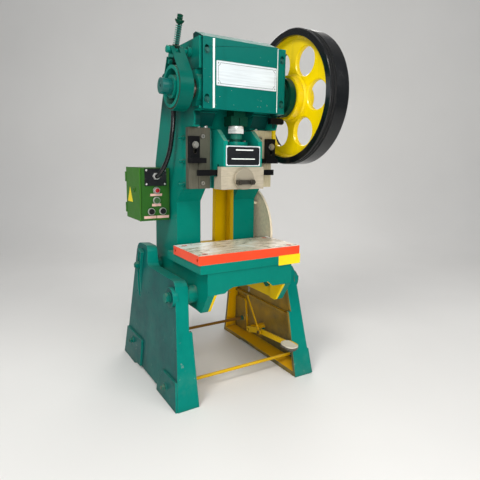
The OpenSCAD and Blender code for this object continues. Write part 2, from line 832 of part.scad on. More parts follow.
module slide() {
    half = slide_w / 2;
    color("teal") machine() difference() {
        union() {
            translate([0, 0, slide_bot]) linear_extrude(slide_top - slide_bot)
                polygon([[-half, slide_front], [half, slide_front], [half, 62], [flank_x, 76],
                    [flank_x, 90], [half, 104], [-half, 104], [-flank_x, 90], [-flank_x, 76],
                    [-half, 62]]);
            both_sides() {
                xprism([[slide_front, slide_top - 1], [slide_front, slide_top + 16], [17, cheek_top],
                    [104, cheek_top], [104, slide_top - 1]], cheek_x, half);
                translate([0, 0, slide_top - 1]) linear_extrude(cheek_top - slide_top + 1)
                    polygon([[half - 1, 61.5], [flank_x, 76], [flank_x, 90], [half - 1, 104]]);
            }
        }
        // The seat of the shank clamp
        block([-100, slide_front - 1, slide_bot - 1], [100, crank_y, 848]);
        block([-100, slide_front - 1, 847], [100, -8, clamp_top]);
        // The slot of the knock-out bar
        block([-100, bar_y - 8.5, bar_bot], [100, bar_y + 8.5, bar_bot + bar_h + bar_lift + 2]);
        // The seat of the ball, long enough for the swing of the rod
        block([-ball_r - 2, crank_y - ball_r - 3, 900], [ball_r + 2, crank_y + 50, slide_top + 1]);
        zcyl(shank_d / 2, slide_bot - 1, slide_bot + shank_l, 0, crank_y);
        for (side = [-1, 1])
            zcyl(4, slide_top - 30, slide_top + 1, side * 38, crank_y);
        for (x = [-29, 29])
            ycyl(5, -20, 60, x, 829);
    }
}

module ball_cap() {
    color("seagreen") machine() difference() {
        union() {
            zcyl(47, slide_top, slide_top + 14, 0, crank_y);
            block([-47, crank_y, slide_top], [47, crank_y + 30, slide_top + 14]);
        }
        zcyl(neck_r + 1, slide_top - 1, slide_top + 20, 0, crank_y);
        block([-neck_r - 1, crank_y, slide_top - 1], [neck_r + 1, crank_y + 60, slide_top + 20]);
        for (side = [-1, 1])
            zcyl(4.2, slide_top - 1, slide_top + 20, side * 38, crank_y);
    }
}

module ball_cap_bolts() {
    color("gray") machine() for (side = [-1, 1]) {
        zhex(7.5, slide_top + 14, slide_top + 21, side * 38, crank_y);
        zcyl(4, slide_top - 28, slide_top + 15, side * 38, crank_y);
    }
}

module shank_clamp() {
    color("tan") machine() difference() {
        union() {
            block([-95, slide_front, slide_bot], [95, crank_y - 0.2, 847.8]);
            block([-95, slide_front, slide_bot], [95, -8.2, clamp_top]);
            intersection() {
                ycyl(41, slide_front - 14, slide_front + 1, 0, 840);
                block([-50, slide_front - 15, slide_bot], [50, slide_front + 1, 890]);
            }
        }
        zcyl(shank_d / 2, slide_bot - 1, slide_bot + shank_l, 0, crank_y);
        for (x = [-29, 29])
            ycyl(5.2, slide_front - 20, crank_y, x, 829);
    }
}

module clamp_nuts() {
    color("black") machine() {
        difference() {
            block([-40, slide_front - 20, 821], [40, slide_front - 14, 837]);
            for (x = [-29, 29])
                ycyl(5, slide_front - 21, slide_front - 13, x, 829);
        }
        for (x = [-29, 29]) {
            yhex(11, slide_front - 30, slide_front - 20, x, 829);
            ycyl(5, slide_front - 34, 58, x, 829);
        }
    }
}

// Flywheel on its bush
hub_left = wheel_x - 6;
hub_right = wheel_x + 98;
web_lo = wheel_x + 28;
web_hi = wheel_x + 50;
rim_r = 238;
small_hub_r = 60;
groove_top = 6;
groove_low = 3.7;
tail_end = hub_right + 2;

function groove(x) = [[wheel_r, x - groove_top], [wheel_r - groove_d, x - groove_low],
    [wheel_r - groove_d, x + groove_low], [wheel_r, x + groove_top]];

module flywheel() {
    rim_end = wheel_x + wheel_w;
    color("gold") machine() difference() {
        translate([0, crank_y, crank_z]) rotate([0, 90, 0]) rotate_extrude($fn = 128)
            polygon(concat([[bush_r, hub_left], [hub_r, hub_left], [hub_r, web_lo - 5],
                [hub_r + 8, web_lo], [rim_r - 8, web_lo], [rim_r, web_lo - 6], [rim_r + 3, wheel_x],
                [wheel_r - 3, wheel_x], [wheel_r, wheel_x + 3]], groove(groove_x[0]), groove(groove_x[1]),
                [[wheel_r, rim_end - 4], [wheel_r - 4, rim_end], [rim_r + 3, rim_end],
                [rim_r, web_hi + 6], [rim_r - 8, web_hi], [small_hub_r + 6, web_hi],
                [small_hub_r, web_hi + 5], [small_hub_r, hub_right], [bush_r, hub_right]]));
        for (i = [0:wheel_holes - 1])
            let (a = 360 * i / wheel_holes, y = crank_y - wheel_hole_pcd / 2 * cos(a),
                z = crank_z + wheel_hole_pcd / 2 * sin(a)) {
                xcyl(wheel_hole_d / 2, web_lo - 10, web_hi + 10, y, z);
                translate([web_lo - 0.5, y, z]) rotate([0, 90, 0])
                    cylinder(r1 = wheel_hole_d / 2 + 4.5, r2 = wheel_hole_d / 2 - 0.5, h = 5);
                translate([web_hi - 4.5, y, z]) rotate([0, 90, 0])
                    cylinder(r1 = wheel_hole_d / 2 - 0.5, r2 = wheel_hole_d / 2 + 4.5, h = 5);
            }
    }
}

module flywheel_bush() {
    color("goldenrod") machine()
        xring(tail_d / 2 + run_gap, bush_r, hub_left, hub_right, crank_y, crank_z);
}

cap_r = 45;
cap_t = 8;
bolt_len = 24;

// The cap that holds the flywheel on, and its bolt
module end_cap() {
    color("darkgreen") machine() {
        difference() {
            xcyl(cap_r, tail_end, tail_end + cap_t, crank_y, crank_z);
            xcyl(6, tail_end - 1, tail_end + cap_t + 1, crank_y, crank_z);
        }
        xhex(13, tail_end + cap_t, x_right, crank_y, crank_z);
        xcyl(5.8, tail_end - bolt_len, tail_end + cap_t + 1, crank_y, crank_z);
    }
}

// Belt drive from the motor, which stands on the shelf inside the frame
belt_top = 4.5;
belt_low = 3.4;
belt_in = wheel_r - groove_d + 0.5;
belt_out = wheel_r - 0.5;
pulley_x = groove_x[0] - 11;
pulley_w = 36;
motor_left = -120;
motor_right = 100;
shaft_r = 12;
plate_z = 888;
plate_t = 10;
pulley_r = pulley_d / 2;
centre_gap = norm([motor_y - crank_y, motor_z - crank_z]);
belt_lean = atan2(motor_z - crank_z, motor_y - crank_y);

// The outline of a belt round both wheels, seen along X with the flywheel at zero
module belt_outline(big, small) {
    wrap = acos((big - small) / centre_gap);
    polygon(concat(
        [for (i = [0:40]) let (a = wrap + (360 - 2 * wrap) * i / 40) big * [cos(a), sin(a)]],
        [for (i = [0:16]) let (a = -wrap + 2 * wrap * i / 16)
            [centre_gap, 0] + small * [cos(a), sin(a)]]));
}

module belt_band(r0, r1, half) {
    shift = pulley_r - wheel_r;
    translate([-half, 0, 0]) rotate([90, 0, 90]) linear_extrude(2 * half) difference() {
        belt_outline(r1, r1 + shift);
        belt_outline(r0, r0 + shift);
    }
}

module v_belts() {
    color("dimgray") machine() for (x = groove_x)
        translate([x, crank_y, crank_z]) rotate([belt_lean, 0, 0]) union() {
            belt_band(belt_in, belt_in + 5, belt_low);
            belt_band(belt_in + 4.9, belt_out, belt_top);
        }
}

// The pulley, and the motor shaft that it is keyed to
module motor_pulley() {
    color("gray") machine() translate([0, motor_y, motor_z]) rotate([0, 90, 0]) {
        rotate_extrude($fn = 64) let (r = pulley_r, d = groove_d, a = pulley_x) polygon([
            [shaft_r, a], [r, a], [r, a + 11 - groove_top], [r - d, a + 11 - groove_low],
            [r - d, a + 11 + groove_low], [r, a + 11 + groove_top], [r, a + 25 - groove_top],
            [r - d, a + 25 - groove_low], [r - d, a + 25 + groove_low], [r, a + 25 + groove_top],
            [r, a + pulley_w], [shaft_r, a + pulley_w]]);
        translate([0, 0, motor_right - 28])
            cylinder(r = shaft_r - run_gap, h = pulley_x + pulley_w - motor_right + 24);
    }
}

module motor() {
    color("gray") machine() difference() {
        union() {
            xcyl(motor_d / 2 - 8, motor_left + 30, motor_right, motor_y, motor_z);
            // Cooling fins
            for (i = [0:17])
                let (a = 20 * i)
                    translate([0, motor_y, motor_z]) rotate([a, 0, 0])
                        block([motor_left + 31, -1.5, motor_d / 2 - 12],
                            [motor_right - 13, 1.5, motor_d / 2 - 1.5]);
            xcyl(motor_d / 2, motor_left, motor_left + 32, motor_y, motor_z);
            xcyl(motor_d / 2, motor_right - 14, motor_right, motor_y, motor_z);
            xcyl(28, motor_right - 1, motor_right + 12, motor_y, motor_z);
            // Feet
            for (side = [-1, 1])
                block([-60, motor_y + side * 46 - 9, plate_z + plate_t],
                    [60, motor_y + side * 46 + 9, motor_z - 48]);
            block([-60, motor_y - 62, plate_z + plate_t], [60, motor_y + 62, plate_z + plate_t + 9]);
            // Terminal box
            block([-36, motor_y - 92, motor_z + 10], [36, motor_y - 56, motor_z + 60]);
        }
        xcyl(shaft_r, motor_right - 30, motor_right + 20, motor_y, motor_z);
        for (x = [-48, 48], y = [-54, 54])
            zcyl(5, plate_z, plate_z + 24, x, motor_y + y);
        xring(20, motor_d / 2 - 14, motor_left - 1, motor_left + 4, motor_y, motor_z);
    }
}

module motor_plate() {
    color("teal") machine() difference() {
        block([-wall_in + 2, 246, plate_z], [wall_in - 2, 374, plate_z + plate_t]);
        for (x = [-48, 48], y = [-54, 54])
            zcyl(5, plate_z - 1, plate_z + plate_t + 1, x, motor_y + y);
    }
}

// Control box on the left-hand upright
box_left = box_right - box_w;
box_back = box_front + box_d;
box_top = box_bot + box_h;
door_gap = 1;
door_fold = 12;

module control_box() {
    color("olivedrab") machine() difference() {
        union() {
            block([box_left, box_front, box_bot], [box_right, box_back, box_top]);
            // Pads that stand it off the wall
            for (y = [box_front + 30, box_back - 40], z = [box_bot + 30, box_top - 30])
                xcyl(9, box_right - 1, -side_x, y, z);
            // Fixed knuckles of the door's hinges
            for (z = [box_bot + 50.3, box_top - 62]) {
                zcyl(3.2, z, z + 11.7, door_hinge_x, door_hinge_y);
                block([door_hinge_x, box_back + 0.6, z], [box_left + 12, door_hinge_y, z + 11.7]);
                block([box_left + 1, box_back - 0.5, z], [box_left + 12, box_back + 1, z + 11.7]);
            }
        }
        block([box_left - 1, box_front + sheet_t, box_bot + sheet_t],
            [box_right - sheet_t, box_back - sheet_t, box_top - sheet_t]);
        // Holes for the gland, the lamp and the buttons
        ycyl(10, box_front - 1, box_front + 5, gland_x, gland_z);
        for (p = FITTINGS)
            ycyl(8, box_front - 1, box_front + 5, p[0], p[1]);
    }
}

// Lamp, then the start, stop and jog buttons, on the front of the box
FITTINGS = [[box_right - 57, 784], [box_right - 58, 743], [box_right - 81, 698],
    [box_right - 32, 698]];
door_hinge_y = box_back + 3;
door_hinge_x = box_left - 4;

module box_door() {
    color("olivedrab") machine() difference() {
        union() {
            block([box_left - door_gap - sheet_t, box_front + 3, box_bot - 1],
                [box_left - door_gap, box_back - 0.4, box_top + 1]);
            // Folded edges
            block([box_left - door_gap - 6, box_front + 3, box_bot - 1],
                [box_left - door_gap, box_front + 3 + sheet_t, box_top + 1]);
            xcyl(9, box_left - door_gap - 7, box_left - door_gap, 315, 784);
            // Hinge barrel
            for (z = [box_bot + 20, box_top - 50])
                zcyl(3.2, z, z + 30, door_hinge_x, door_hinge_y);
            block([door_hinge_x - 0.5, box_back - 4, box_bot + 20], [box_left - door_gap, door_hinge_y, box_bot + 50]);
            block([door_hinge_x - 0.5, box_back - 4, box_top - 50], [box_left - door_gap, door_hinge_y, box_top - 20]);
        }
        xhex(5, box_left - door_gap - 8, box_left - door_gap - 3, 315, 784);
    }
}

bezel_r = 14.5;
bezel_in = 12.2;
bezel_h = 8;
button_r = 11.6;
button_h = 7;
button_out = 12;
stem_r = 7.5;
stem_in = 14;

module button(p) {
    ycyl(stem_r, box_front - button_out + 1, box_front + stem_in, p[0], p[1]);
    ycyl(button_r, box_front - button_out, box_front - button_out + button_h, p[0], p[1]);
}

module box_fittings() {
    color("silver") machine() {
        // Bezels of the buttons
        for (i = [1:3])
            difference() {
                ycyl(bezel_r, box_front - bezel_h, box_front, FITTINGS[i][0], FITTINGS[i][1]);
                ycyl(bezel_in, box_front - bezel_h - 1, box_front + 1, FITTINGS[i][0], FITTINGS[i][1]);
            }
        // Lamp
        ycyl(bezel_r, box_front - 5, box_front, FITTINGS[0][0], FITTINGS[0][1]);
        ycyl(11, box_front - 13, box_front - 4, FITTINGS[0][0], FITTINGS[0][1]);
    }
}

// The conduit's gland on the box, and its elbow on the wall
module conduit_fittings() {
    color("silver") machine() {
        difference() {
            union() {
                yhex(15, box_front - 7, box_front, gland_x, gland_z);
                ycyl(13, box_front - 16, box_front - 7, gland_x, gland_z);
                ycyl(9.7, box_front - 1, box_front + 10, gland_x, gland_z);
            }
            ycyl(conduit_d / 2 + 0.1, box_front - 17, box_front - 2, gland_x, gland_z);
        }
        difference() {
            union() {
                block([conduit_x - 13, 136, 1112], [-side_x, 164, 1150]);
                zcyl(13, 1100, 1113, conduit_x, 150);
            }
            zcyl(conduit_d / 2 + 0.1, 1099, 1112.2, conduit_x, 150);
        }
    }
}

module start_button() {
    color("green") machine() button(FITTINGS[1]);
}

module stop_button() {
    color("black") machine() button(FITTINGS[2]);
}

module jog_button() {
    color("black") machine() button(FITTINGS[3]);
}

// The conduit, swept as one tube through its route
function unit(v) = v / norm(v);

function tube_ring(path, i, r, sides) =
    let (n = len(path) - 1, d = unit(path[min(i + 1, n)] - path[max(i - 1, 0)]),
        u = unit(cross(d, [1, 0, 0])), w = cross(d, u))
    [for (k = [0:sides - 1]) let (b = 360 * k / sides) path[i] + r * (u * cos(b) + w * sin(b))];

module conduit() {
    color("black") machine() tube_from_rings(
        [for (i = [0:len(CONDUIT) - 1]) tube_ring(CONDUIT, i, conduit_d / 2 - 0.2, 12)], 12);
}

// Stand: two cast legs that lean inward
LEG_OUTLINE = [[-118, 0], [-24, 430], [-19, 446], [-9, 458], [4, 463], [262, 463], [274, 466],
    [283, 474], [287, 486], [294, 522], [300, 537], [312, 545], [392, 545], [412, 538], [425, 524],
    [431, 508], [492, 110], [513, 0], [353, 0], [340, 12], [99, 12], [85, 0]];
LEG_INSIDE = [[-98, 26], [-10, 428], [-5, 441], [6, 449], [262, 449], [280, 453], [294, 464],
    [301, 482], [308, 520], [316, 531], [390, 531], [404, 526], [413, 516], [417, 505],
    [478, 108], [494, 26]];
flange_w = 52;
wide_top = 278;
slot_half = 11;
rim_half = 20;
slot_face = 287;
boss_face = 291;
FOOT_FRONT = [[-115, 0], [-93, 104], [34, 104], [80, 30], [84, 14], [84, 0]];
FOOT_BACK = [[356, 0], [343, 14], [286, 14], [286, 125], [293, 131], [486, 131], [510, 0]];
REAR_PAD = [[372, 14], [372, 190], [384, 202], [452, 202], [464, 192], [484, 60], [484, 14]];
rib_deep = 11;
rib_z = 228;
pad_deep = 13;
foot_proud = 8;
pedal_boss_in = side_x + 28;
spot_in = [293, 275];
spot_out = [318, 315];
nut_t = 11;

module leg_frame() {
    translate([floor_x, 0, 0]) rotate([0, -leg_lean, 0]) children();
}

module leg(pedal_boss) {
    difference() {
        union() {
            difference() {
                leg_frame() xprism(LEG_OUTLINE, -110, 0);
                leg_frame() xprism(LEG_INSIDE, -120, -leg_t);
                leg_frame() block([-120, -200, wide_top], [-flange_w, 600, 600]);
                block([100, -200, -20], [leg_in, 600, 600]);
            }
            // Rib across the inside
            leg_frame() block([-leg_t - rib_deep, -42, rib_z], [-leg_t + 1, 458, rib_z + 12]);
            // Pad behind the rear tie rod
            leg_frame() xprism(REAR_PAD, -leg_t - pad_deep, -leg_t + 1);
            leg_frame() xprism(FOOT_FRONT, -1, foot_proud);
            leg_frame() xprism(FOOT_BACK, -1, foot_proud);
            // Boss of the tilt pivot
            xcyl(33, leg_in - 1, boss_face - 10, pivot_y, pivot_z);
            xcyl(38, boss_face - 20, boss_face, pivot_y, pivot_z);
            // Rim of the tilt slot
            xarc(tilt_r - rim_half, tilt_r + rim_half, rim_in, slot_face, pivot_y, pivot_z,
                slot_low - 2.6, slot_high + 2.6);
            // Spot faces of the tie rods
            xcyl(17, spot_in[0], spot_out[0], front_rod_y, front_rod_z);
            xcyl(17, spot_in[1], spot_out[1], rear_rod_y, rear_rod_z);
            if (pedal_boss)
                xcyl(17, pedal_boss_in, 300, pedal_y, pedal_z);
        }
        // Tilt slot
        xarc(tilt_r - slot_half, tilt_r + slot_half, 250, 300, pivot_y, pivot_z, slot_low, slot_high);
        for (a = [slot_low, slot_high])
            xcyl(slot_half - 0.4, 250, 300, pivot_y + tilt_r * cos(a), pivot_z + tilt_r * sin(a));
        xcyl(pivot_d / 2, leg_in - 3, boss_face + 1, pivot_y, pivot_z);
        xcyl(rod_d / 2, spot_in[0] - 1, spot_out[0] + 1, front_rod_y, front_rod_z);
        xcyl(rod_d / 2, spot_in[1] - 1, spot_out[1] + 1, rear_rod_y, rear_rod_z);
        xcyl(5, 250, 300, 352, 312);
        if (pedal_boss)
            xcyl(8, pedal_boss_in - 1, 320, pedal_y, pedal_z);
        block([100, -200, -30], [400, 600, 0]);
    }
}

module left_leg() {
    color("teal") machine() mirror([1, 0, 0]) leg(false);
}

module right_leg() {
    color("teal") machine() leg(true);
}

module tie_rods() {
    color("gray") machine() {
        xcyl(rod_d / 2 - 0.05, x_left, -x_left, front_rod_y, front_rod_z);
        xcyl(rod_d / 2 - 0.05, x_left + 3, -x_left - 3, rear_rod_y, rear_rod_z);
    }
}

module rod_nut(x0, y, z) {
    difference() {
        xhex(12, x0, x0 + nut_t, y, z);
        xcyl(rod_d / 2, x0 - 1, x0 + nut_t + 1, y, z);
    }
}

module tie_rod_nuts() {
    color("dimgray") machine() both_sides() {
        rod_nut(spot_out[0], front_rod_y, front_rod_z);
        rod_nut(spot_in[0] - nut_t, front_rod_y, front_rod_z);
        rod_nut(spot_out[1], rear_rod_y, rear_rod_z);
        rod_nut(spot_in[1] - nut_t, rear_rod_y, rear_rod_z);
    }
}

module pivot_bolts() {
    color("dimgray") machine() both_sides() {
        xcyl(pivot_d / 2, wall_in - 12, boss_face, pivot_y, pivot_z);
        xcyl(22, boss_face, boss_face + 4, pivot_y, pivot_z);
        xhex(19, boss_face + 4, boss_face + 18, pivot_y, pivot_z);
        xhex(19, wall_in - 14, wall_in - 0.3, pivot_y, pivot_z);
    }
}

module tilt_bolts() {
    y = pivot_y + tilt_r * cos(bolt_angle);
    z = pivot_z + tilt_r * sin(bolt_angle);
    color("dimgray") machine() both_sides() {
        xcyl(9.8, wall_in - 1, slot_face + 18, y, z);
        xhex(15, wall_in - 12, wall_in, y, z);
        difference() {
            xcyl(18, slot_face + 0.2, slot_face + 3, y, z);
            xcyl(9, slot_face, slot_face + 4, y, z);
        }
        xhex(16, slot_face + 3, slot_face + 14, y, z);
    }
}

// Pedal, and the linkage that it pulls
arm_x = side_x + 17;
arm_t = 8;
pad_x = side_x - 4;
pad_z = 163;
pad_tilt = 8;
rod_r = 4;
link_x = side_x + 10;

module pedal() {
    color("gray") machine() difference() {
        union() {
            xprism([[pedal_y + 14, pedal_z - 10], [pedal_y + 14, pedal_z + 10], [pedal_y - 4, pedal_z + 15],
                [150, 137], [-60, 152], [-82, 152], [-82, 134], [-66, 131], [144, 113],
                [pedal_y - 4, pedal_z - 15]], arm_x, arm_x + arm_t);
            xcyl(15, arm_x, pedal_boss_in - 0.5, pedal_y, pedal_z);
            // Pin that the pull rod hangs on
            xcyl(5, link_x - 7, arm_x + 1, link_y, link_z + 6);
            xcyl(8, link_x - 9, link_x - 6, link_y, link_z + 6);
            // Neck and oval pad
            block([pad_x - 10, -96, 136], [arm_x + arm_t, -78, 152]);
            block([pad_x - 14, -150, 140], [pad_x + 14, -80, 152]);
            translate([pad_x, pedal_y - pedal_l, 152]) oval(40, 28, 12);
        }
        xcyl(8 + run_gap, arm_x - 1, arm_x + arm_t + 5, pedal_y, pedal_z);
    }
}

// A plate with round ends, long in Y
module oval(half_l, half_w, h) {
    for (side = [-1, 1])
        translate([0, side * (half_l - half_w), 0]) cylinder(r = half_w, h = h);
    translate([-half_w, half_w - half_l, 0]) cube([2 * half_w, 2 * (half_l - half_w), h]);
}

// Link slot: the pin of the pedal swings a little while the rod only slides
pin_swing = 2.6;
link_r = 5;
trip_y = 230;
trip_x = side_x + 19.5;
trip_low = 290;
trip_pin_z = 1062;
trip_pivot_y = -5;
trip_pivot_z = 1066;
trip_lo = side_x + 6;
trip_hi = trip_lo + 8;
trip_eye_r = 5;
GUIDE_Z = [356, 770, 1015];

// A round bar between two points of one plane across X
module bar_between(p, q, x, r) {
    d = q - p;
    translate([x, p[0], p[1]]) rotate([-atan2(d[0], d[1]), 0, 0]) cylinder(r = r, h = norm(d));
}

module pull_rod() {
    color("gold") machine() difference() {
        union() {
            bar_between([link_y + 4, link_z + 12], [228, 272], link_x, rod_r);
            xcyl(10.5, link_x - 4, link_x + 4, link_y - 1, link_z + 6);
        }
        xcyl(link_r + 0.4, link_x - 5, link_x + 5, link_y, link_z + 6);
        xcyl(link_r + 0.4, link_x - 5, link_x + 5, link_y - pin_swing, link_z + 6);
        block([link_x - 5, link_y - pin_swing, link_z + 6 - link_r - 0.4],
            [link_x + 5, link_y, link_z + 6 + link_r + 0.4]);
    }
}

module trip_rod() {
    color("gray") machine() difference() {
        union() {
            zcyl(rod_r, trip_low, trip_pin_z - 4, trip_x, trip_y);
            xcyl(9, trip_x - rod_r, trip_x + rod_r, trip_y, trip_pin_z);
        }
        xcyl(trip_eye_r, trip_x - 5, trip_x + 5, trip_y, trip_pin_z);
    }
}

module trip_arm() {
    color("black") machine() difference() {
        union() {
            xcyl(12, trip_lo, trip_hi, trip_pivot_y, trip_pivot_z);
            xcyl(9, trip_lo, trip_hi, trip_y, trip_pin_z);
            block([trip_lo, trip_pivot_y, trip_pivot_z - 8], [trip_hi, trip_y, trip_pivot_z + 5]);
            xcyl(3.5, trip_hi - 1, trip_x + 6, trip_y, trip_pin_z);
            // The nose that holds the clutch
            block([trip_lo, 62, trip_pivot_z], [trip_lo + 22, 78, trip_pivot_z + 30]);
        }
        xcyl(6.1, trip_lo - 2, trip_hi + 1, trip_pivot_y, trip_pivot_z);
    }
}

module trip_bracket() {
    color("black") machine() difference() {
        union() {
            block([trip_lo - 53, -17, trip_pivot_z - 11], [trip_lo - 1.5, 12, trip_pivot_z + 12]);
            xcyl(6, trip_lo - 2, trip_hi + 1, trip_pivot_y, trip_pivot_z);
            xcyl(10, trip_hi + 0.4, trip_hi + 4, trip_pivot_y, trip_pivot_z);
        }
        xcyl(52.1, trip_lo - 62, trip_hi, way_y - 20, 1062);
    }
}

// Round guard over the trip rod, on spacers
guard_y = 275;
guard_z = 590;
guard_r = 212;
guard_lo = side_x + 20;
guard_hi = side_x + 30;
GUARD_FEET = [[192, 720], [206, 562], [388, 562], [388, 715]];

module side_guard() {
    color("tan") machine() difference() {
        union() {
            xcyl(guard_r, guard_hi - sheet_t, guard_hi, guard_y, guard_z);
            xring(guard_r - sheet_t, guard_r, guard_lo, guard_hi, guard_y, guard_z);
            for (p = GUARD_FEET) {
                xcyl(7, side_x, guard_hi - 1, p[0], p[1]);
                xhex(9, guard_hi, guard_hi + 6, p[0], p[1]);
            }
        }
        // It stops above the bed and the bolster, and the trip rod passes its rim
        block([side_x - 6, 0, guard_z - guard_r - 1], [guard_hi + 14, 600, bed_z + 2]);
        block([side_x - 6, 0, bed_z], [guard_hi + 14, bolster_d / 2 + 4, bed_z + bolster_t + 3]);
        zcyl(6, bed_z, guard_z + guard_r + 1, trip_x, trip_y);
    }
}

left_leg();
right_leg();
tie_rods();
tie_rod_nuts();
pivot_bolts();
tilt_bolts();
frame();
bearing_caps();
bearing_bushes();
cap_bolts();
bolster_plate();
bolster_bolts();
front_cover();
left_gib();
right_gib();
front_screws();
gib_set_screws();
knockout_stops();
knockout_bar();
crankshaft();
clutch_collar();
brake_drum();
brake_lining();
brake_band();
brake_anchor_pin();
brake_rod();
brake_eye_pin();
brake_spring();
brake_cup();
connecting_rod();
rod_cap();
rod_cap_bolts();
adjusting_screw();
lock_nut();
slide();
ball_cap();
ball_cap_bolts();
shank_clamp();
clamp_nuts();
flywheel();
flywheel_bush();
end_cap();
v_belts();
motor();
motor_plate();
motor_pulley();
control_box();
box_door();
box_fittings();
start_button();
stop_button();
jog_button();
conduit();
conduit_fittings();
pedal();
pull_rod();
trip_rod();
trip_arm();
trip_bracket();
side_guard();
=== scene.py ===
"""Looks, small thin pieces, lamps and camera for the stamping press of the CAD frame."""
import math

import bmesh
import bpy
from mathutils import Matrix, Vector


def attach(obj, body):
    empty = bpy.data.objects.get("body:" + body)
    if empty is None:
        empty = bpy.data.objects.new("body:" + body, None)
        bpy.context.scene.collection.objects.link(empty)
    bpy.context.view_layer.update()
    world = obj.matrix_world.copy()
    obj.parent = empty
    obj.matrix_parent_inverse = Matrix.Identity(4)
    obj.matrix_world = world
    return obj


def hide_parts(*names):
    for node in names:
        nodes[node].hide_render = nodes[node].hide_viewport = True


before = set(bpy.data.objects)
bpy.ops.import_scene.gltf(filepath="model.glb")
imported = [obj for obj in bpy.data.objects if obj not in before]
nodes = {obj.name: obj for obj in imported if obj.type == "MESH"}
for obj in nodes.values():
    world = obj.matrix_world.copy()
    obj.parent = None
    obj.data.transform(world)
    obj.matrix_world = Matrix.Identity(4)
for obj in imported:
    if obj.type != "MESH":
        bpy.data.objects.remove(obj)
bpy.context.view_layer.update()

# The machine's own axes: X from the slide's middle, Y from the bolster's middle
SHIFT_X = -0.011
SHIFT_Y = -0.1325
# Rays that the occlusion and bevel shaders send
SIDE_RAYS = 6
# Sockets of a colour mix node, which share their names with others
MIX_FACTOR, MIX_A, MIX_B, MIX_RESULT = 0, 6, 7, 2


def at(x, y, z):
    """A point given in the machine's millimetres, in the frame's metres."""
    return Vector((x / 1000 + SHIFT_X, y / 1000 + SHIFT_Y, z / 1000))


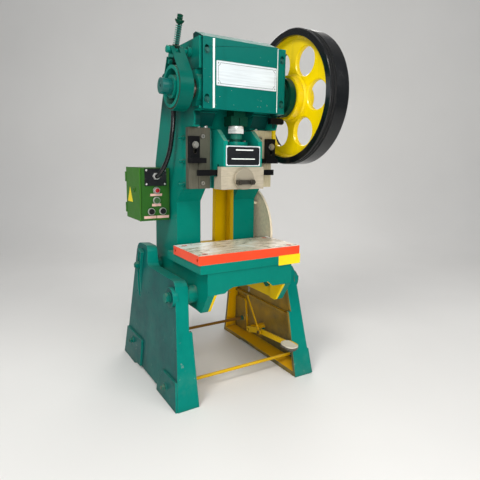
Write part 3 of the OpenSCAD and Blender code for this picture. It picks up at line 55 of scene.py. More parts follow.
class Tree:
    """Short calls for building one material's nodes.

    x, y, z is the shaded point in the machine's metres, and nx, ny, nz its normal."""

    def __init__(self, name):
        self.mat = bpy.data.materials.new(name)
        self.mat.use_nodes = True
        self.nt = self.mat.node_tree
        self.nt.nodes.clear()
        out = self.nt.nodes.new("ShaderNodeOutputMaterial")
        self.bsdf = self.nt.nodes.new("ShaderNodeBsdfPrincipled")
        self.nt.links.new(self.bsdf.outputs["BSDF"], out.inputs["Surface"])
        coord = self.nt.nodes.new("ShaderNodeTexCoord")
        self.pos = coord.outputs["Object"]
        x, y, self.z = self.split(self.pos)
        self.x = self.math("SUBTRACT", x, SHIFT_X)
        self.y = self.math("SUBTRACT", y, SHIFT_Y)
        self.nx, self.ny, self.nz = self.split(coord.outputs["Normal"])

    def put(self, value, socket):
        """Links or sets one input."""
        if isinstance(value, bpy.types.NodeSocket):
            self.nt.links.new(value, socket)
        elif isinstance(value, (tuple, list)) and len(value) == 3 and socket.type == "RGBA":
            socket.default_value = (*value, 1.0)
        else:
            socket.default_value = value

    def set(self, key, value):
        """Links or sets one input of the main shader."""
        self.put(value, self.bsdf.inputs[key])

    def math(self, op, a, b=0.0, c=0.0, clamp=False):
        n = self.nt.nodes.new("ShaderNodeMath")
        n.operation = op
        n.use_clamp = clamp
        for i, v in enumerate((a, b, c)):
            self.put(v, n.inputs[i])
        return n.outputs[0]

    def split(self, v):
        n = self.nt.nodes.new("ShaderNodeSeparateXYZ")
        self.put(v, n.inputs[0])
        return n.outputs

    def scale(self, v, s):
        """A vector times (x, y, z) factors."""
        n = self.nt.nodes.new("ShaderNodeVectorMath")
        n.operation = "MULTIPLY"
        self.put(v, n.inputs[0])
        n.inputs[1].default_value = s
        return n.outputs[0]

    def noise(self, scale, detail, rough, vector=None, distort=0.0):
        n = self.nt.nodes.new("ShaderNodeTexNoise")
        self.put(vector or self.pos, n.inputs["Vector"])
        n.inputs["Scale"].default_value = scale
        n.inputs["Detail"].default_value = detail
        n.inputs["Roughness"].default_value = rough
        n.inputs["Distortion"].default_value = distort
        return n.outputs["Fac"]

    def dots(self, scale):
        """Distance to the nearest of many scattered points."""
        n = self.nt.nodes.new("ShaderNodeTexVoronoi")
        self.put(self.pos, n.inputs["Vector"])
        n.inputs["Scale"].default_value = scale
        return n.outputs["Distance"]

    def span(self, v, lo, hi, a=0.0, b=1.0):
        """a where v is at lo, b where it is at hi, and a ramp between."""
        n = self.nt.nodes.new("ShaderNodeMapRange")
        n.clamp = True
        for i, w in enumerate((v, lo, hi, a, b)):
            self.put(w, n.inputs[i])
        return n.outputs[0]

    def above(self, v, limit, soft):
        """1 above the limit and 0 below it."""
        return self.span(v, limit - soft, limit + soft)

    def below(self, v, limit, soft):
        """1 below the limit and 0 above it."""
        return self.span(v, limit + soft, limit - soft)

    def all_of(self, *masks):
        """1 where every mask is 1."""
        m = masks[0]
        for k in masks[1:]:
            m = self.math("MULTIPLY", m, k)
        return m

    def either(self, a, b):
        """1 where one of two masks is 1."""
        return self.math("MAXIMUM", a, b)

    def radius(self, a, b):
        """Distance from the point where a and b are 0."""
        return self.math("SQRT", self.math("ADD", self.math("MULTIPLY", a, a),
                                           self.math("MULTIPLY", b, b)))

    def mix(self, f, a, b):
        """Colour a where f is 0 and colour b where it is 1."""
        n = self.nt.nodes.new("ShaderNodeMix")
        n.data_type = "RGBA"
        self.put(f, n.inputs[MIX_FACTOR])
        self.put(a, n.inputs[MIX_A])
        self.put(b, n.inputs[MIX_B])
        return n.outputs[MIX_RESULT]

    def shade(self, color, amount):
        """A colour multiplied by a grey amount."""
        n = self.nt.nodes.new("ShaderNodeMix")
        n.data_type = "RGBA"
        n.blend_type = "MULTIPLY"
        n.inputs[MIX_FACTOR].default_value = 1.0
        self.put(color, n.inputs[MIX_A])
        self.put(amount, n.inputs[MIX_B])
        return n.outputs[MIX_RESULT]

    def hollow(self, distance):
        """0 in corners and 1 on open faces."""
        n = self.nt.nodes.new("ShaderNodeAmbientOcclusion")
        n.samples = SIDE_RAYS
        n.inputs["Distance"].default_value = distance
        return n.outputs["AO"]

    def edge(self, radius):
        """1 on sharp edges and 0 elsewhere, with the rounded normal."""
        n = self.nt.nodes.new("ShaderNodeBevel")
        n.samples = SIDE_RAYS
        n.inputs["Radius"].default_value = radius
        g = self.nt.nodes.new("ShaderNodeNewGeometry")
        d = self.nt.nodes.new("ShaderNodeVectorMath")
        d.operation = "DOT_PRODUCT"
        self.nt.links.new(n.outputs[0], d.inputs[0])
        self.nt.links.new(g.outputs["Normal"], d.inputs[1])
        return self.span(d.outputs["Value"], 0.97, 0.80), n.outputs[0]

    def bump(self, height, strength, distance, normal):
        """Relief of the surface, over the rounded normal."""
        n = self.nt.nodes.new("ShaderNodeBump")
        n.inputs["Strength"].default_value = strength
        n.inputs["Distance"].default_value = distance
        self.put(height, n.inputs["Height"])
        self.put(normal, n.inputs["Normal"])
        self.nt.links.new(n.outputs[0], self.bsdf.inputs["Normal"])


def srgb(r, g, b):
    """Linear colour from 0-255 values."""

    def lin(v):
        v /= 255
        return v / 12.92 if v <= 0.04045 else ((v + 0.055) / 1.055) ** 2.4
    return (lin(r), lin(g), lin(b))


TEAL = srgb(0, 124, 108)
TEAL_DARK = srgb(0, 92, 86)
# Painted shade: dark teal for the left sides of the head and cover and the hollow under the cover
TEAL_SHADE = srgb(1, 38, 38)
YELLOW = srgb(255, 222, 2)
OLIVE_YELLOW = srgb(240, 204, 4)
DUST = srgb(176, 160, 134)
PRIMER = srgb(150, 156, 150)
SPECK = srgb(214, 222, 214)
RUST = srgb(120, 66, 30)
# Grime and painted shade in corners, as linear colours
GREEN_GRIME_AND_SHADE = (0.006, 0.010, 0.009)
OIL_AND_SHADE = (0.01, 0.01, 0.01)


def darker(color, amount):
    """A colour times an amount below 1."""
    return tuple(c * amount for c in color)


def lighter(color, amount, lift):
    """A colour times an amount above 1, and lifted."""
    return tuple(min(1, c * amount + lift) for c in color)


def enamel(name, color, dark=None, rough=0.3, mask=None, second=None, chips=0.5, dust=0.35,
           radius=0.0012, grain=1.0, coat=0.03, specular=0.07, shade_and_dark_paint=None, shade_and_dark_paint_colour=None,
           specks=0.0, lift=0.01, edge_highlight=0.14):
    """Brushed or sprayed machine enamel on cast or welded steel, with dust, worn edges, grime and
    painted shade in corners, and a painted highlight along the edges.

    mask(tree) gives 1 where the second colour lies; the third mask gives 1 where a darker third
    colour covers it: painted shade on shaded faces and in hollows, dark paint on the pedal's neck
    and the tie rods' ends."""
    t = Tree(name)
    dark = dark or darker(color, 0.6)
    cloud = t.noise(3.5, 5, 0.6)
    fine = t.noise(38, 5, 0.6)
    base = t.mix(t.span(cloud, 0.3, 0.72), t.mix(0.28, color, dark), color)
    base = t.mix(t.span(fine, 0.35, 0.75, 0, 0.18), base, lighter(color, 1.25, 0.002))
    if mask:
        base2 = t.mix(t.span(cloud, 0.3, 0.72), darker(second, 0.86), second)
        base = t.mix(mask(t), base, base2)
    # Third colour: painted shade on shaded faces and in hollows, dark paint on the pedal's neck and
    # the rods' ends
    if shade_and_dark_paint:
        base = t.mix(t.math("MULTIPLY", shade_and_dark_paint(t), 0.85), base, shade_and_dark_paint_colour or TEAL_SHADE)
    # Grime and painted shade in corners and creases
    base = t.mix(t.span(t.hollow(0.03), 0.25, 0.9, 0.5, 0.0), base, GREEN_GRIME_AND_SHADE)
    # Runs and stains that go down the sides
    streak = t.noise(1.0, 4, 0.6, vector=t.scale(t.pos, (30, 30, 2.2)))
    base = t.shade(base, t.span(streak, 0.60, 0.78, 1.0, 0.86))
    # Dust on what faces up and near the floor
    up = t.all_of(t.span(t.nz, 0.35, 0.95), t.span(t.noise(22, 6, 0.7), 0.35, 0.7))
    low = t.all_of(t.span(t.z, 0.16, 0.0), t.span(t.noise(14, 6, 0.7), 0.45, 0.75))
    film = t.math("MULTIPLY", t.either(up, low), dust)
    base = t.mix(film, base, DUST)
    # Edges where the paint has gone, and small chips
    edge, rounded = t.edge(radius)
    worn = t.all_of(edge, t.span(t.noise(90, 5, 0.7), 0.60, 0.72))
    chip = t.span(t.noise(55, 3, 0.5), 0.775, 0.80)
    low_chip = t.all_of(t.span(t.noise(30, 5, 0.65), 0.66, 0.70), t.span(t.z, 0.35, 0.02))
    bare = t.math("MULTIPLY", t.either(t.either(worn, chip), low_chip), chips)
    # Painted highlight along the edges, where light would catch them
    base = t.mix(t.math("MULTIPLY", edge, edge_highlight), base, lighter(color, 1.4, lift))
    if specks:
        few = t.span(t.noise(9, 2, 0.5), 0.5, 0.56)
        base = t.mix(t.all_of(t.span(t.dots(75), 0.075, 0.055), few, specks), base, SPECK)
    base = t.mix(bare, base, PRIMER)
    t.set("Base Color", base)
    r = t.span(fine, 0.2, 0.8, rough - 0.06, rough + 0.12)
    t.set("Roughness", t.math("ADD", r, t.math("MULTIPLY", film, 0.6), clamp=True))
    t.set("Coat Weight", coat)
    t.set("Coat Roughness", 0.12)
    t.set("Specular IOR Level", specular)
    h = t.math("ADD", t.math("MULTIPLY", t.noise(120, 3, 0.5), 0.5 * grain),
               t.math("MULTIPLY", t.noise(16, 3, 0.5), 1.2 * grain))
    t.bump(t.math("SUBTRACT", h, t.math("MULTIPLY", bare, 0.8)), 0.35, 0.0009, rounded)
    return t.mat


def steel(name, color, rough=0.32, axis=(1, 1, 1), stain=0.35, metal=0.9, rust=0.1,
          scale=1.0, second=None, mask=None):
    """Machined or ground steel with tool marks, oil stains, a little rust, and oil and painted
    shade in its hollows.

    The tool marks run along the axis with the smallest value. mask(tree) gives 1 where the second
    colour lies: paint on the shaft and the cover's screws, a darker disc on the clamp."""
    t = Tree(name)
    marks = t.noise(260 * scale, 3, 0.6, vector=t.scale(t.pos, axis))
    cloud = t.noise(9, 6, 0.65, distort=0.6)
    base = t.mix(t.span(marks, 0.3, 0.7), darker(color, 0.78), color)
    base = t.mix(t.span(cloud, 0.45, 0.7, 0, stain), base, darker(color, 0.38))
    if mask:
        second_area = mask(t)
        base = t.mix(second_area, base, second)
        metal = t.math("MULTIPLY", t.math("SUBTRACT", 1.0, second_area), metal)
    rusty = t.math("MULTIPLY", t.span(t.noise(26, 6, 0.75), 0.58, 0.72), rust)
    base = t.mix(rusty, base, RUST)
    # Oil and painted shade in hollows
    base = t.mix(t.span(t.hollow(0.015), 0.3, 0.9, 0.55, 0.0), base, OIL_AND_SHADE)
    t.set("Base Color", base)
    t.set("Metallic", metal)
    t.set("Specular IOR Level", 0.4)
    r = t.span(marks, 0.25, 0.75, rough - 0.08, rough + 0.1)
    t.set("Roughness", t.math("ADD", r, t.span(cloud, 0.45, 0.75, 0, 0.16), clamp=True))
    _, rounded = t.edge(0.0008)
    t.bump(t.math("ADD", marks, t.math("MULTIPLY", cloud, 0.6)), 0.18, 0.0004, rounded)
    return t.mat


def plastic(name, color, rough=0.4, grain=160.0, coat=0.0, specks=0.15):
    """Plastic, rubber or film, with a few specks of dust."""
    t = Tree(name)
    n = t.noise(grain, 4, 0.6)
    cloud = t.noise(7, 4, 0.6)
    base = t.mix(t.span(cloud, 0.35, 0.7, 0, 0.4), color, lighter(color, 1.6, 0.015))
    dusty = t.math("MULTIPLY", t.span(t.noise(70, 5, 0.7), 0.62, 0.7), specks)
    t.set("Base Color", t.mix(dusty, base, DUST))
    t.set("Roughness", t.span(n, 0.3, 0.7, rough - 0.05, rough + 0.1))
    t.set("Specular IOR Level", 0.25)
    t.set("Coat Weight", coat)
    t.set("Coat Roughness", 0.08)
    _, rounded = t.edge(0.0006)
    t.bump(n, 0.15, 0.0003, rounded)
    return t.mat


# Masks: where one paint ends and another begins, in the machine's metres

def leg_inside(t):
    """Inside of a leg: yellow on what faces the middle of the leg or of the press."""
    plate_x, plate_lean = 0.3035, -0.0787
    middle_y, middle_z = 0.190, 0.262
    shoulder_z = 0.449
    inward = t.math("MULTIPLY", t.nx, t.math("SIGN", t.x))
    face = t.math("MULTIPLY_ADD", t.z, plate_lean, plate_x)
    inner = t.above(t.math("SUBTRACT", face, t.math("ABSOLUTE", t.x)), 0.0, 0.0006)
    dot = t.math("ADD", t.math("MULTIPLY", t.ny, t.math("SUBTRACT", t.y, middle_y)),
                 t.math("MULTIPLY", t.nz, t.math("SUBTRACT", t.z, middle_z)))
    facing = t.either(t.below(dot, 0.001, 0.003), t.below(inward, -0.4, 0.1))
    return t.all_of(inner, facing, t.below(t.z, shoulder_z, 0.003))


def frame_inside(t):
    """Inside of the frame: behind the throat's flange and under the bed."""
    half_in, half_throat = 0.1609, 0.1608
    flange_back, throat_back, frame_back = 0.1722, 0.1715, 0.410
    bed_under, bed_front = 0.50455, -0.1110
    head_low, outer_back = 1.070, 0.3685
    ax = t.math("ABSOLUTE", t.x)
    inward = t.math("MULTIPLY", t.nx, t.math("SIGN", t.x))
    behind = t.all_of(t.above(t.y, flange_back, 0.0008), t.below(ax, half_in, 0.0003),
                      t.below(t.y, frame_back, 0.001))
    throat = t.all_of(t.below(inward, -0.5, 0.1), t.above(t.y, throat_back, 0.0008),
                      t.below(ax, half_throat, 0.0002))
    under = t.all_of(t.below(t.z, bed_under, 0.00025), t.below(ax, half_in, 0.0003),
                     t.above(t.y, bed_front, 0.0008))
    # The outer back of the machine is teal again
    back = t.all_of(t.above(t.ny, 0.5, 0.1), t.above(t.y, outer_back, 0.0035))
    return t.all_of(t.either(t.either(behind, throat), under), t.below(inward, 0.2, 0.1),
                    t.below(t.z, head_low, 0.005), t.math("SUBTRACT", 1.0, back))


def wheel_web(t):
    """Yellow web and hub of the flywheel; its rim is black."""
    shaft_y, shaft_z, rim_in = 0.020, 1.165, 0.2391
    r = t.radius(t.math("SUBTRACT", t.y, shaft_y), t.math("SUBTRACT", t.z, shaft_z))
    ragged = t.math("MULTIPLY_ADD", t.noise(18, 3, 0.5), 0.002, -0.001)
    return t.below(t.math("ADD", r, ragged), rim_in, 0.0005)


def head_side_shade(t):
    """Painted shade on the left side of the head, deeper low down, and in the hollow under the
    cover.
    """
    hollow_low, hollow_high, hollow_half, hollow_back = 1.037, 1.093, 0.180, 0.09
    ragged = t.math("MULTIPLY_ADD", t.noise(7, 4, 0.6), 0.10, -0.05)
    side = t.all_of(t.below(t.nx, -0.65, 0.15), t.above(t.math("ADD", t.z, ragged), 1.085, 0.045),
                    t.span(t.z, 1.30, 1.20, 0.25, 1.0))
    hollow = t.all_of(t.below(t.ny, -0.35, 0.15), t.above(t.z, hollow_low, 0.003),
                      t.below(t.z, hollow_high, 0.003),
                      t.below(t.math("ABSOLUTE", t.x), hollow_half, 0.004),
                      t.below(t.y, hollow_back, 0.01))
    return t.either(side, hollow)


def cover_side_shade(t):
    """Painted shade on the left face of the cover, as dark as on the head beside it."""
    return t.below(t.nx, -0.65, 0.15)


def leg_side_shade(t):
    """Painted shade in uneven patches on the outer faces of the legs, so they are dimmer than their
    fronts.
    """
    return t.all_of(t.above(t.math("ABSOLUTE", t.nx), 0.65, 0.15),
                    t.span(t.noise(5, 4, 0.6), 0.3, 0.6, 0.55, 1.0))


def shaft_paint(t):
    """Left end of the crankshaft, painted over with the drum."""
    return t.below(t.x, -0.269, 0.0005)


PAD_X = 0.202


def pedal_arm(t):
    """The pedal's arm and boss are yellow; its pad is bare."""
    return t.either(t.above(t.x, PAD_X, 0.0005), t.above(t.y, 0.11, 0.01))


def pedal_neck(t):
    """Dark neck under the pad."""
    return t.all_of(t.below(t.z, 0.1598, 0.0004), t.below(t.x, PAD_X, 0.0005))


def clamp_disc(t):
    """Darker disc round the shank's bore on the front of the clamp."""
    bore_z, spot_r, clamp_front = 0.840, 0.0412, -0.05
    r = t.radius(t.x, t.math("SUBTRACT", t.z, bore_z))
    return t.all_of(t.below(r, spot_r, 0.0003), t.below(t.y, clamp_front, 0.0005))


def screws_painted(t):
    """Screws of the cover carry its paint; the gib's screws are bare."""
    return t.above(t.z, 1.085, 0.005)


def rod_ends(t):
    """Ends of the tie rods outside the legs, painted with them."""
    return t.above(t.math("ABSOLUTE", t.x), 0.298, 0.002)


def front_rod(t):
    """The front tie rod is yellow between the legs, and the rear one brown."""
    return t.all_of(t.below(t.y, 0.19, 0.01), t.below(t.math("ABSOLUTE", t.x), 0.290, 0.005))


M = {
    "teal": enamel("teal_enamel", TEAL, TEAL_DARK),
    "slide": enamel("slide_enamel", srgb(4, 134, 118), srgb(20, 84, 74), chips=0.9, dust=0.5,
                    grain=0.6),
    "cover": enamel("cover_enamel", srgb(0, 102, 92), srgb(0, 86, 78), rough=0.34, grain=0.3,
                    chips=0.15, specks=0.9, dust=0.08, lift=0.0, shade_and_dark_paint=cover_side_shade),
    "frame": enamel("frame_enamel", TEAL, TEAL_DARK, mask=frame_inside, second=OLIVE_YELLOW,
                    shade_and_dark_paint=head_side_shade),
    "leg": enamel("leg_enamel", srgb(0, 127, 113), srgb(0, 92, 90), mask=leg_inside,
                  second=srgb(240, 182, 0), dust=0.1, shade_and_dark_paint=leg_side_shade, shade_and_dark_paint_colour=srgb(2, 66, 68),
                  chips=0.6, lift=0.06, edge_highlight=0.4, radius=0.003),
    "wheel": enamel("flywheel_enamel", srgb(12, 14, 16), srgb(6, 7, 9), rough=0.2, mask=wheel_web,
                    second=YELLOW, chips=0.3, grain=0.7, coat=0.3, dust=0.06, specular=0.3),
    "dark": enamel("dark_green_enamel", srgb(6, 62, 46), rough=0.34, chips=0.3),
    "spring": plastic("spring_enamel", srgb(12, 98, 86), 0.36, coat=0.1, specks=0.0),
    "spring_rod": plastic("spring_rod_enamel", srgb(2, 20, 17), 0.5, specks=0.0),
    "brake": enamel("brake_enamel", srgb(0, 92, 80), srgb(0, 64, 58), edge_highlight=0.3, lift=0.0,
                    dust=0.05),
    "yellow": enamel("yellow_enamel", srgb(214, 166, 8), srgb(160, 114, 6), rough=0.36),
    "rods": enamel("tie_rod_enamel", srgb(128, 88, 18), srgb(70, 48, 16), rough=0.36,
                   mask=front_rod, second=srgb(226, 180, 8), chips=0.4, shade_and_dark_paint=rod_ends,
                   shade_and_dark_paint_colour=TEAL_DARK),
    "box": enamel("box_enamel", srgb(46, 96, 36), srgb(34, 74, 28), rough=0.36, grain=0.3,
                  chips=0.25, radius=0.001, dust=0.12),
    "door": enamel("door_enamel", srgb(62, 118, 42), srgb(44, 88, 32), rough=0.34, grain=0.3,
                   chips=0.25, radius=0.0008),
    "black": enamel("black_enamel", srgb(16, 16, 18), srgb(8, 8, 9), rough=0.4, chips=0.4,
                    dust=0.2),
    "grey": enamel("grey_enamel", srgb(96, 104, 104), rough=0.4),
    "pedal": enamel("pedal_enamel", srgb(214, 208, 190), srgb(150, 144, 128), rough=0.4,
                    mask=pedal_arm, second=srgb(230, 186, 8), chips=0.4, shade_and_dark_paint=pedal_neck,
                    shade_and_dark_paint_colour=srgb(24, 22, 20)),
    "fastener": enamel("fastener_enamel", srgb(2, 112, 98), srgb(1, 70, 64), rough=0.32,
                       chips=0.8, radius=0.0006),
    "scuffed": enamel("scuffed_enamel", srgb(4, 108, 92), srgb(120, 128, 118), rough=0.34,
                      chips=1.0, grain=0.5),
    "bare": steel("bare_steel", srgb(170, 168, 160), 0.30, axis=(0.12, 1, 1)),
    "shaft": steel("turned_steel", srgb(176, 174, 168), 0.24, axis=(1, 0.15, 0.15),
                   second=TEAL_DARK, mask=shaft_paint),
    "screw": steel("screw_steel", srgb(150, 150, 148), 0.34, rust=0.25),
    "front_screw": steel("front_screw_steel", srgb(176, 174, 166), 0.34, rust=0.2,
                         second=srgb(0, 84, 76), mask=screws_painted),
    "bright": steel("bright_steel", srgb(216, 216, 212), 0.3, stain=0.1, rust=0.02, metal=0.45),
    "nut": steel("turned_nut", srgb(244, 244, 240), 0.26, stain=0.05, rust=0.0, metal=0.2,
                 axis=(0.1, 0.1, 1), scale=0.3),
    "clamp": steel("milled_steel", srgb(204, 193, 170), 0.4, axis=(0.08, 1, 1), stain=0.3,
                   metal=0.3, second=srgb(150, 142, 124), mask=clamp_disc),
    "oxide": steel("black_oxide_steel", srgb(86, 82, 74), 0.34, metal=0.7, stain=0.5, rust=0.2),
    # One steel for both gibs: the left gib's darker colour is painted shade and the right gib's
    # lighter colour painted light
    "gib_left": steel("gib_steel_painted_shade", srgb(96, 94, 80), 0.45, axis=(1, 1, 0.08), metal=0.2,
                      rust=0.12, stain=0.3),
    "gib_right": steel("gib_steel_painted_light", srgb(206, 194, 160), 0.45, axis=(1, 1, 0.08), metal=0.2,
                       rust=0.15, stain=0.25),
    "sheet": steel("sheet_steel", srgb(255, 238, 208), 0.4, axis=(1, 0.3, 0.3), stain=0.18,
                   metal=0.12),
    "plate": steel("plate_aluminium", srgb(222, 230, 234), 0.4, axis=(0.05, 1, 1), stain=0.05,
                   metal=0.1, rust=0.0, scale=0.5),
    # Bronze darkened by oil and, further, as painted shade for the dark slit beside the brake drum
    "bronze": steel("bronze", srgb(104, 74, 40), 0.4, rust=0.0),
    "belt": plastic("belt_rubber", srgb(16, 16, 17), 0.75, grain=300),
    "conduit": plastic("conduit_sheath", srgb(10, 11, 13), 0.24, coat=0.35, grain=60,
                       specks=0.05),
    "fibre": plastic("lining_fibre", srgb(62, 48, 36), 0.8, grain=220),
    "green_cap": plastic("green_cap", srgb(54, 88, 52), 0.3, coat=0.2),
    "black_cap": plastic("black_cap", srgb(16, 16, 18), 0.3, coat=0.2),
    "red_lens": plastic("red_lens", srgb(150, 12, 22), 0.3, coat=0.15, specks=0.0),
    "white": plastic("white_film", srgb(226, 232, 228), 0.45, specks=0.3),
    "pink_label": plastic("label_film", srgb(214, 172, 160), 0.5),
    "yellow_label": plastic("yellow_label_film", srgb(240, 212, 20), 0.42),
    "black_panel": plastic("black_panel", srgb(16, 18, 22), 0.32, coat=0.15),
}


def bolster_material():
    """Orange sides with painted shade in their corners; the top is bare steel, mottled by oil and
    old scrapes.
    """
    top_z, ragged_z = 0.5720, 0.5735
    orange_low, orange_high, corner_shade = srgb(226, 62, 22), srgb(252, 78, 34), (0.05, 0.01, 0.005)
    steel_low, steel_high = srgb(176, 158, 132), srgb(250, 238, 218)
    film, oil, worn_steel = srgb(252, 250, 244), srgb(84, 76, 62), srgb(150, 140, 126)
    t = Tree("bolster")
    edge_noise = t.math("MULTIPLY_ADD", t.noise(60, 5, 0.7), 0.0035, -0.0022)
    top = t.either(t.all_of(t.span(t.nz, 0.6, 0.8), t.above(t.z, top_z, 0.0005)),
                   t.above(t.math("ADD", t.z, edge_noise), ragged_z, 0.0003))
    orange = t.mix(t.span(t.noise(5, 4, 0.6), 0.3, 0.7), orange_low, orange_high)
    # Painted shade in the corners of the orange sides
    orange = t.mix(t.span(t.hollow(0.02), 0.3, 0.9, 0.4, 0), orange, corner_shade)
    big = t.noise(7, 6, 0.62, vector=t.scale(t.pos, (1, 2.2, 1)), distort=1.4)
    fine = t.noise(60, 5, 0.7, vector=t.scale(t.pos, (0.5, 2.2, 1)), distort=0.6)
    mottle = t.math("ADD", t.math("MULTIPLY", big, 0.65), t.math("MULTIPLY", fine, 0.35))
    metal = t.mix(t.span(mottle, 0.34, 0.58), steel_low, steel_high)
    # Scraps of film and painted glare, most of them at the left rear, and dark oil
    corner = t.all_of(t.span(t.x, -0.02, -0.20), t.span(t.y, -0.10, 0.09))
    film_and_glare = t.span(t.math("ADD", mottle, t.math("MULTIPLY", corner, 0.14)), 0.55, 0.61)
    metal = t.mix(film_and_glare, metal, film)
    oily = t.span(t.noise(17, 6, 0.7, distort=1.0), 0.58, 0.68)
    metal = t.mix(t.math("MULTIPLY", oily, 0.6), metal, oil)
    edge, rounded = t.edge(0.001)
    worn = t.all_of(edge, t.span(t.noise(80, 5, 0.7), 0.5, 0.6))
    t.set("Base Color", t.mix(t.math("MULTIPLY", worn, 0.8), t.mix(top, orange, metal), worn_steel))
    t.set("Metallic", t.math("MULTIPLY", top, 0.12))
    t.set("Specular IOR Level", 0.35)
    smooth = t.span(mottle, 0.35, 0.65, 0.2, 0.42)
    t.set("Roughness", t.math("ADD", t.math("MULTIPLY", top, smooth),
                              t.math("MULTIPLY", t.math("SUBTRACT", 1.0, top), 0.32)))
    t.set("Coat Weight", 0.1)
    t.bump(t.math("ADD", mottle, t.math("MULTIPLY", fine, 0.6)), 0.3, 0.0007, rounded)
    return t.mat


M["bolster"] = bolster_material()

# Which material each CAD node wears
DRESS = {
    "teal": ["bearing_caps", "brake_drum", "brake_anchor_pin", "motor_plate", "ball_cap"],
    "slide": ["slide"],
    "brake": ["brake_band"],
    "cover": ["front_cover"],
    "frame": ["frame"],
    "leg": ["left_leg", "right_leg"],
    "wheel": ["flywheel"],
    "dark": ["clutch_collar", "brake_cup", "end_cap", "connecting_rod", "rod_cap"],
    "spring": ["brake_spring"],
    "spring_rod": ["brake_rod"],
    "yellow": ["pull_rod"],
    "rods": ["tie_rods"],
    "box": ["control_box"],
    "door": ["box_door"],
    "black": ["knockout_stops", "knockout_bar", "trip_arm", "trip_bracket"],
    "grey": ["motor", "motor_pulley"],
    "pedal": ["pedal"],
    "fastener": ["brake_eye_pin", "tie_rod_nuts", "pivot_bolts", "tilt_bolts", "gib_set_screws",
                 "cap_bolts"],
    "scuffed": ["adjusting_screw"],
    "shaft": ["crankshaft"],
    "bare": ["trip_rod"],
    "screw": ["bolster_bolts", "rod_cap_bolts", "ball_cap_bolts"],
    "front_screw": ["front_screws"],
    "bright": ["box_fittings", "conduit_fittings"],
    "nut": ["lock_nut"],
    "clamp": ["shank_clamp"],
    "oxide": ["clamp_nuts"],
    "gib_left": ["left_gib"],
    "gib_right": ["right_gib"],
    "sheet": ["side_guard"],
    "bronze": ["bearing_bushes", "flywheel_bush"],
    "belt": ["v_belts"],
    "fibre": ["brake_lining"],
    "green_cap": ["start_button"],
    "black_cap": ["stop_button", "jog_button"],
    "bolster": ["bolster_plate"],
}


for key, names in DRESS.items():
    for name in names:
        materials = nodes[name].data.materials
        materials.clear()
        materials.append(M[key])


# Solids with rounded edges, and how wide the rounding is in metres
ROUNDED = {"left_leg": 0.004, "right_leg": 0.004, "front_cover": 0.002, "control_box": 0.0015}
# Angle in radians from which two faces meet in a sharp edge
SHARP = 0.6


def soften(obj, width):
    """Rounds the sharp edges of a solid whose mesh stays as it is."""
    weld = obj.modifiers.new("weld", "WELD")
    weld.merge_threshold = 0.00001
    bevel = obj.modifiers.new("bevel", "BEVEL")
    bevel.width = width
    bevel.segments = 2
    bevel.limit_method = "ANGLE"
    bevel.angle_limit = SHARP
    bevel.use_clamp_overlap = True
    bevel.harden_normals = False
    weight = obj.modifiers.new("weight", "WEIGHTED_NORMAL")
    weight.mode = "FACE_AREA"
    weight.weight = 100
    weight.keep_sharp = True


for name, width in ROUNDED.items():
    soften(nodes[name], width)


def piece(name, bm, mat, body, smooth=True):
    """An object of the scene alone, which rides on a body of the frame."""
    me = bpy.data.meshes.new(name)
    bmesh.ops.recalc_face_normals(bm, faces=bm.faces)
    bm.to_mesh(me)
    bm.free()
    ob = bpy.data.objects.new(name, me)
    bpy.context.scene.collection.objects.link(ob)
    me.materials.append(mat)
    if smooth:
        for p in me.polygons:
            p.use_smooth = True
        me.set_sharp_from_angle(angle=SHARP)
    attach(ob, body)
    return ob


# Turns that lay a form's own axis along the machine's Y or Z
TURN = {"y": Matrix.Rotation(-math.pi / 2, 4, "X"), "z": Matrix.Identity(4)}


def circle(radius, seg):
    """Points round a circle, as (x, y) pairs."""
    return [(radius * math.cos(2 * math.pi * k / seg), radius * math.sin(2 * math.pi * k / seg))
            for k in range(seg)]


def add_lathe(bm, points, centre, axis, seg):
    """A turned form: points are (radius, distance along the axis) in millimetres, from centre."""
    m = Matrix.Translation(at(*centre)) @ TURN[axis]
    rings = []
    for r, d in points:
        spots = circle(r / 1000, seg) if r else [(0, 0)]
        rings.append([bm.verts.new(m @ Vector((x, y, d / 1000))) for x, y in spots])
    for a, b in zip(rings, rings[1:]):
        for k in range(seg):
            n = (k + 1) % seg
            if len(b) == 1:
                bm.faces.new((a[k], a[n], b[0]))
            else:
                bm.faces.new((a[k], a[n], b[n], b[k]))


def add_prism(bm, outline, origin, u, v, depth):
    """A flat plate: outline points in millimetres along u and v from origin, raised along u x v."""
    o = at(*origin)
    u, v = Vector(u), Vector(v)
    n = u.cross(v)
    lo = [bm.verts.new(o + (u * a + v * b) / 1000) for a, b in outline]
    hi = [bm.verts.new(o + (u * a + v * b + n * depth) / 1000) for a, b in outline]
    bm.faces.new(list(reversed(lo)))
    bm.faces.new(hi)
    for k in range(len(lo)):
        j = (k + 1) % len(lo)
        bm.faces.new((lo[k], lo[j], hi[j], hi[k]))


def round_rect(w, h, r):
    """Outline of a rectangle with round corners."""
    steps = 6
    pts = []
    for cx, cy, a0 in ((w - r, h - r, 0), (r, h - r, 90), (r, r, 180), (w - r, r, 270)):
        for i in range(steps + 1):
            a = math.radians(a0 + 90 * i / steps)
            pts.append((cx + r * math.cos(a), cy + r * math.sin(a)))
    return pts


X, Z = (1, 0, 0), (0, 0, 1)
MINUS_Y = (0, -1, 0)

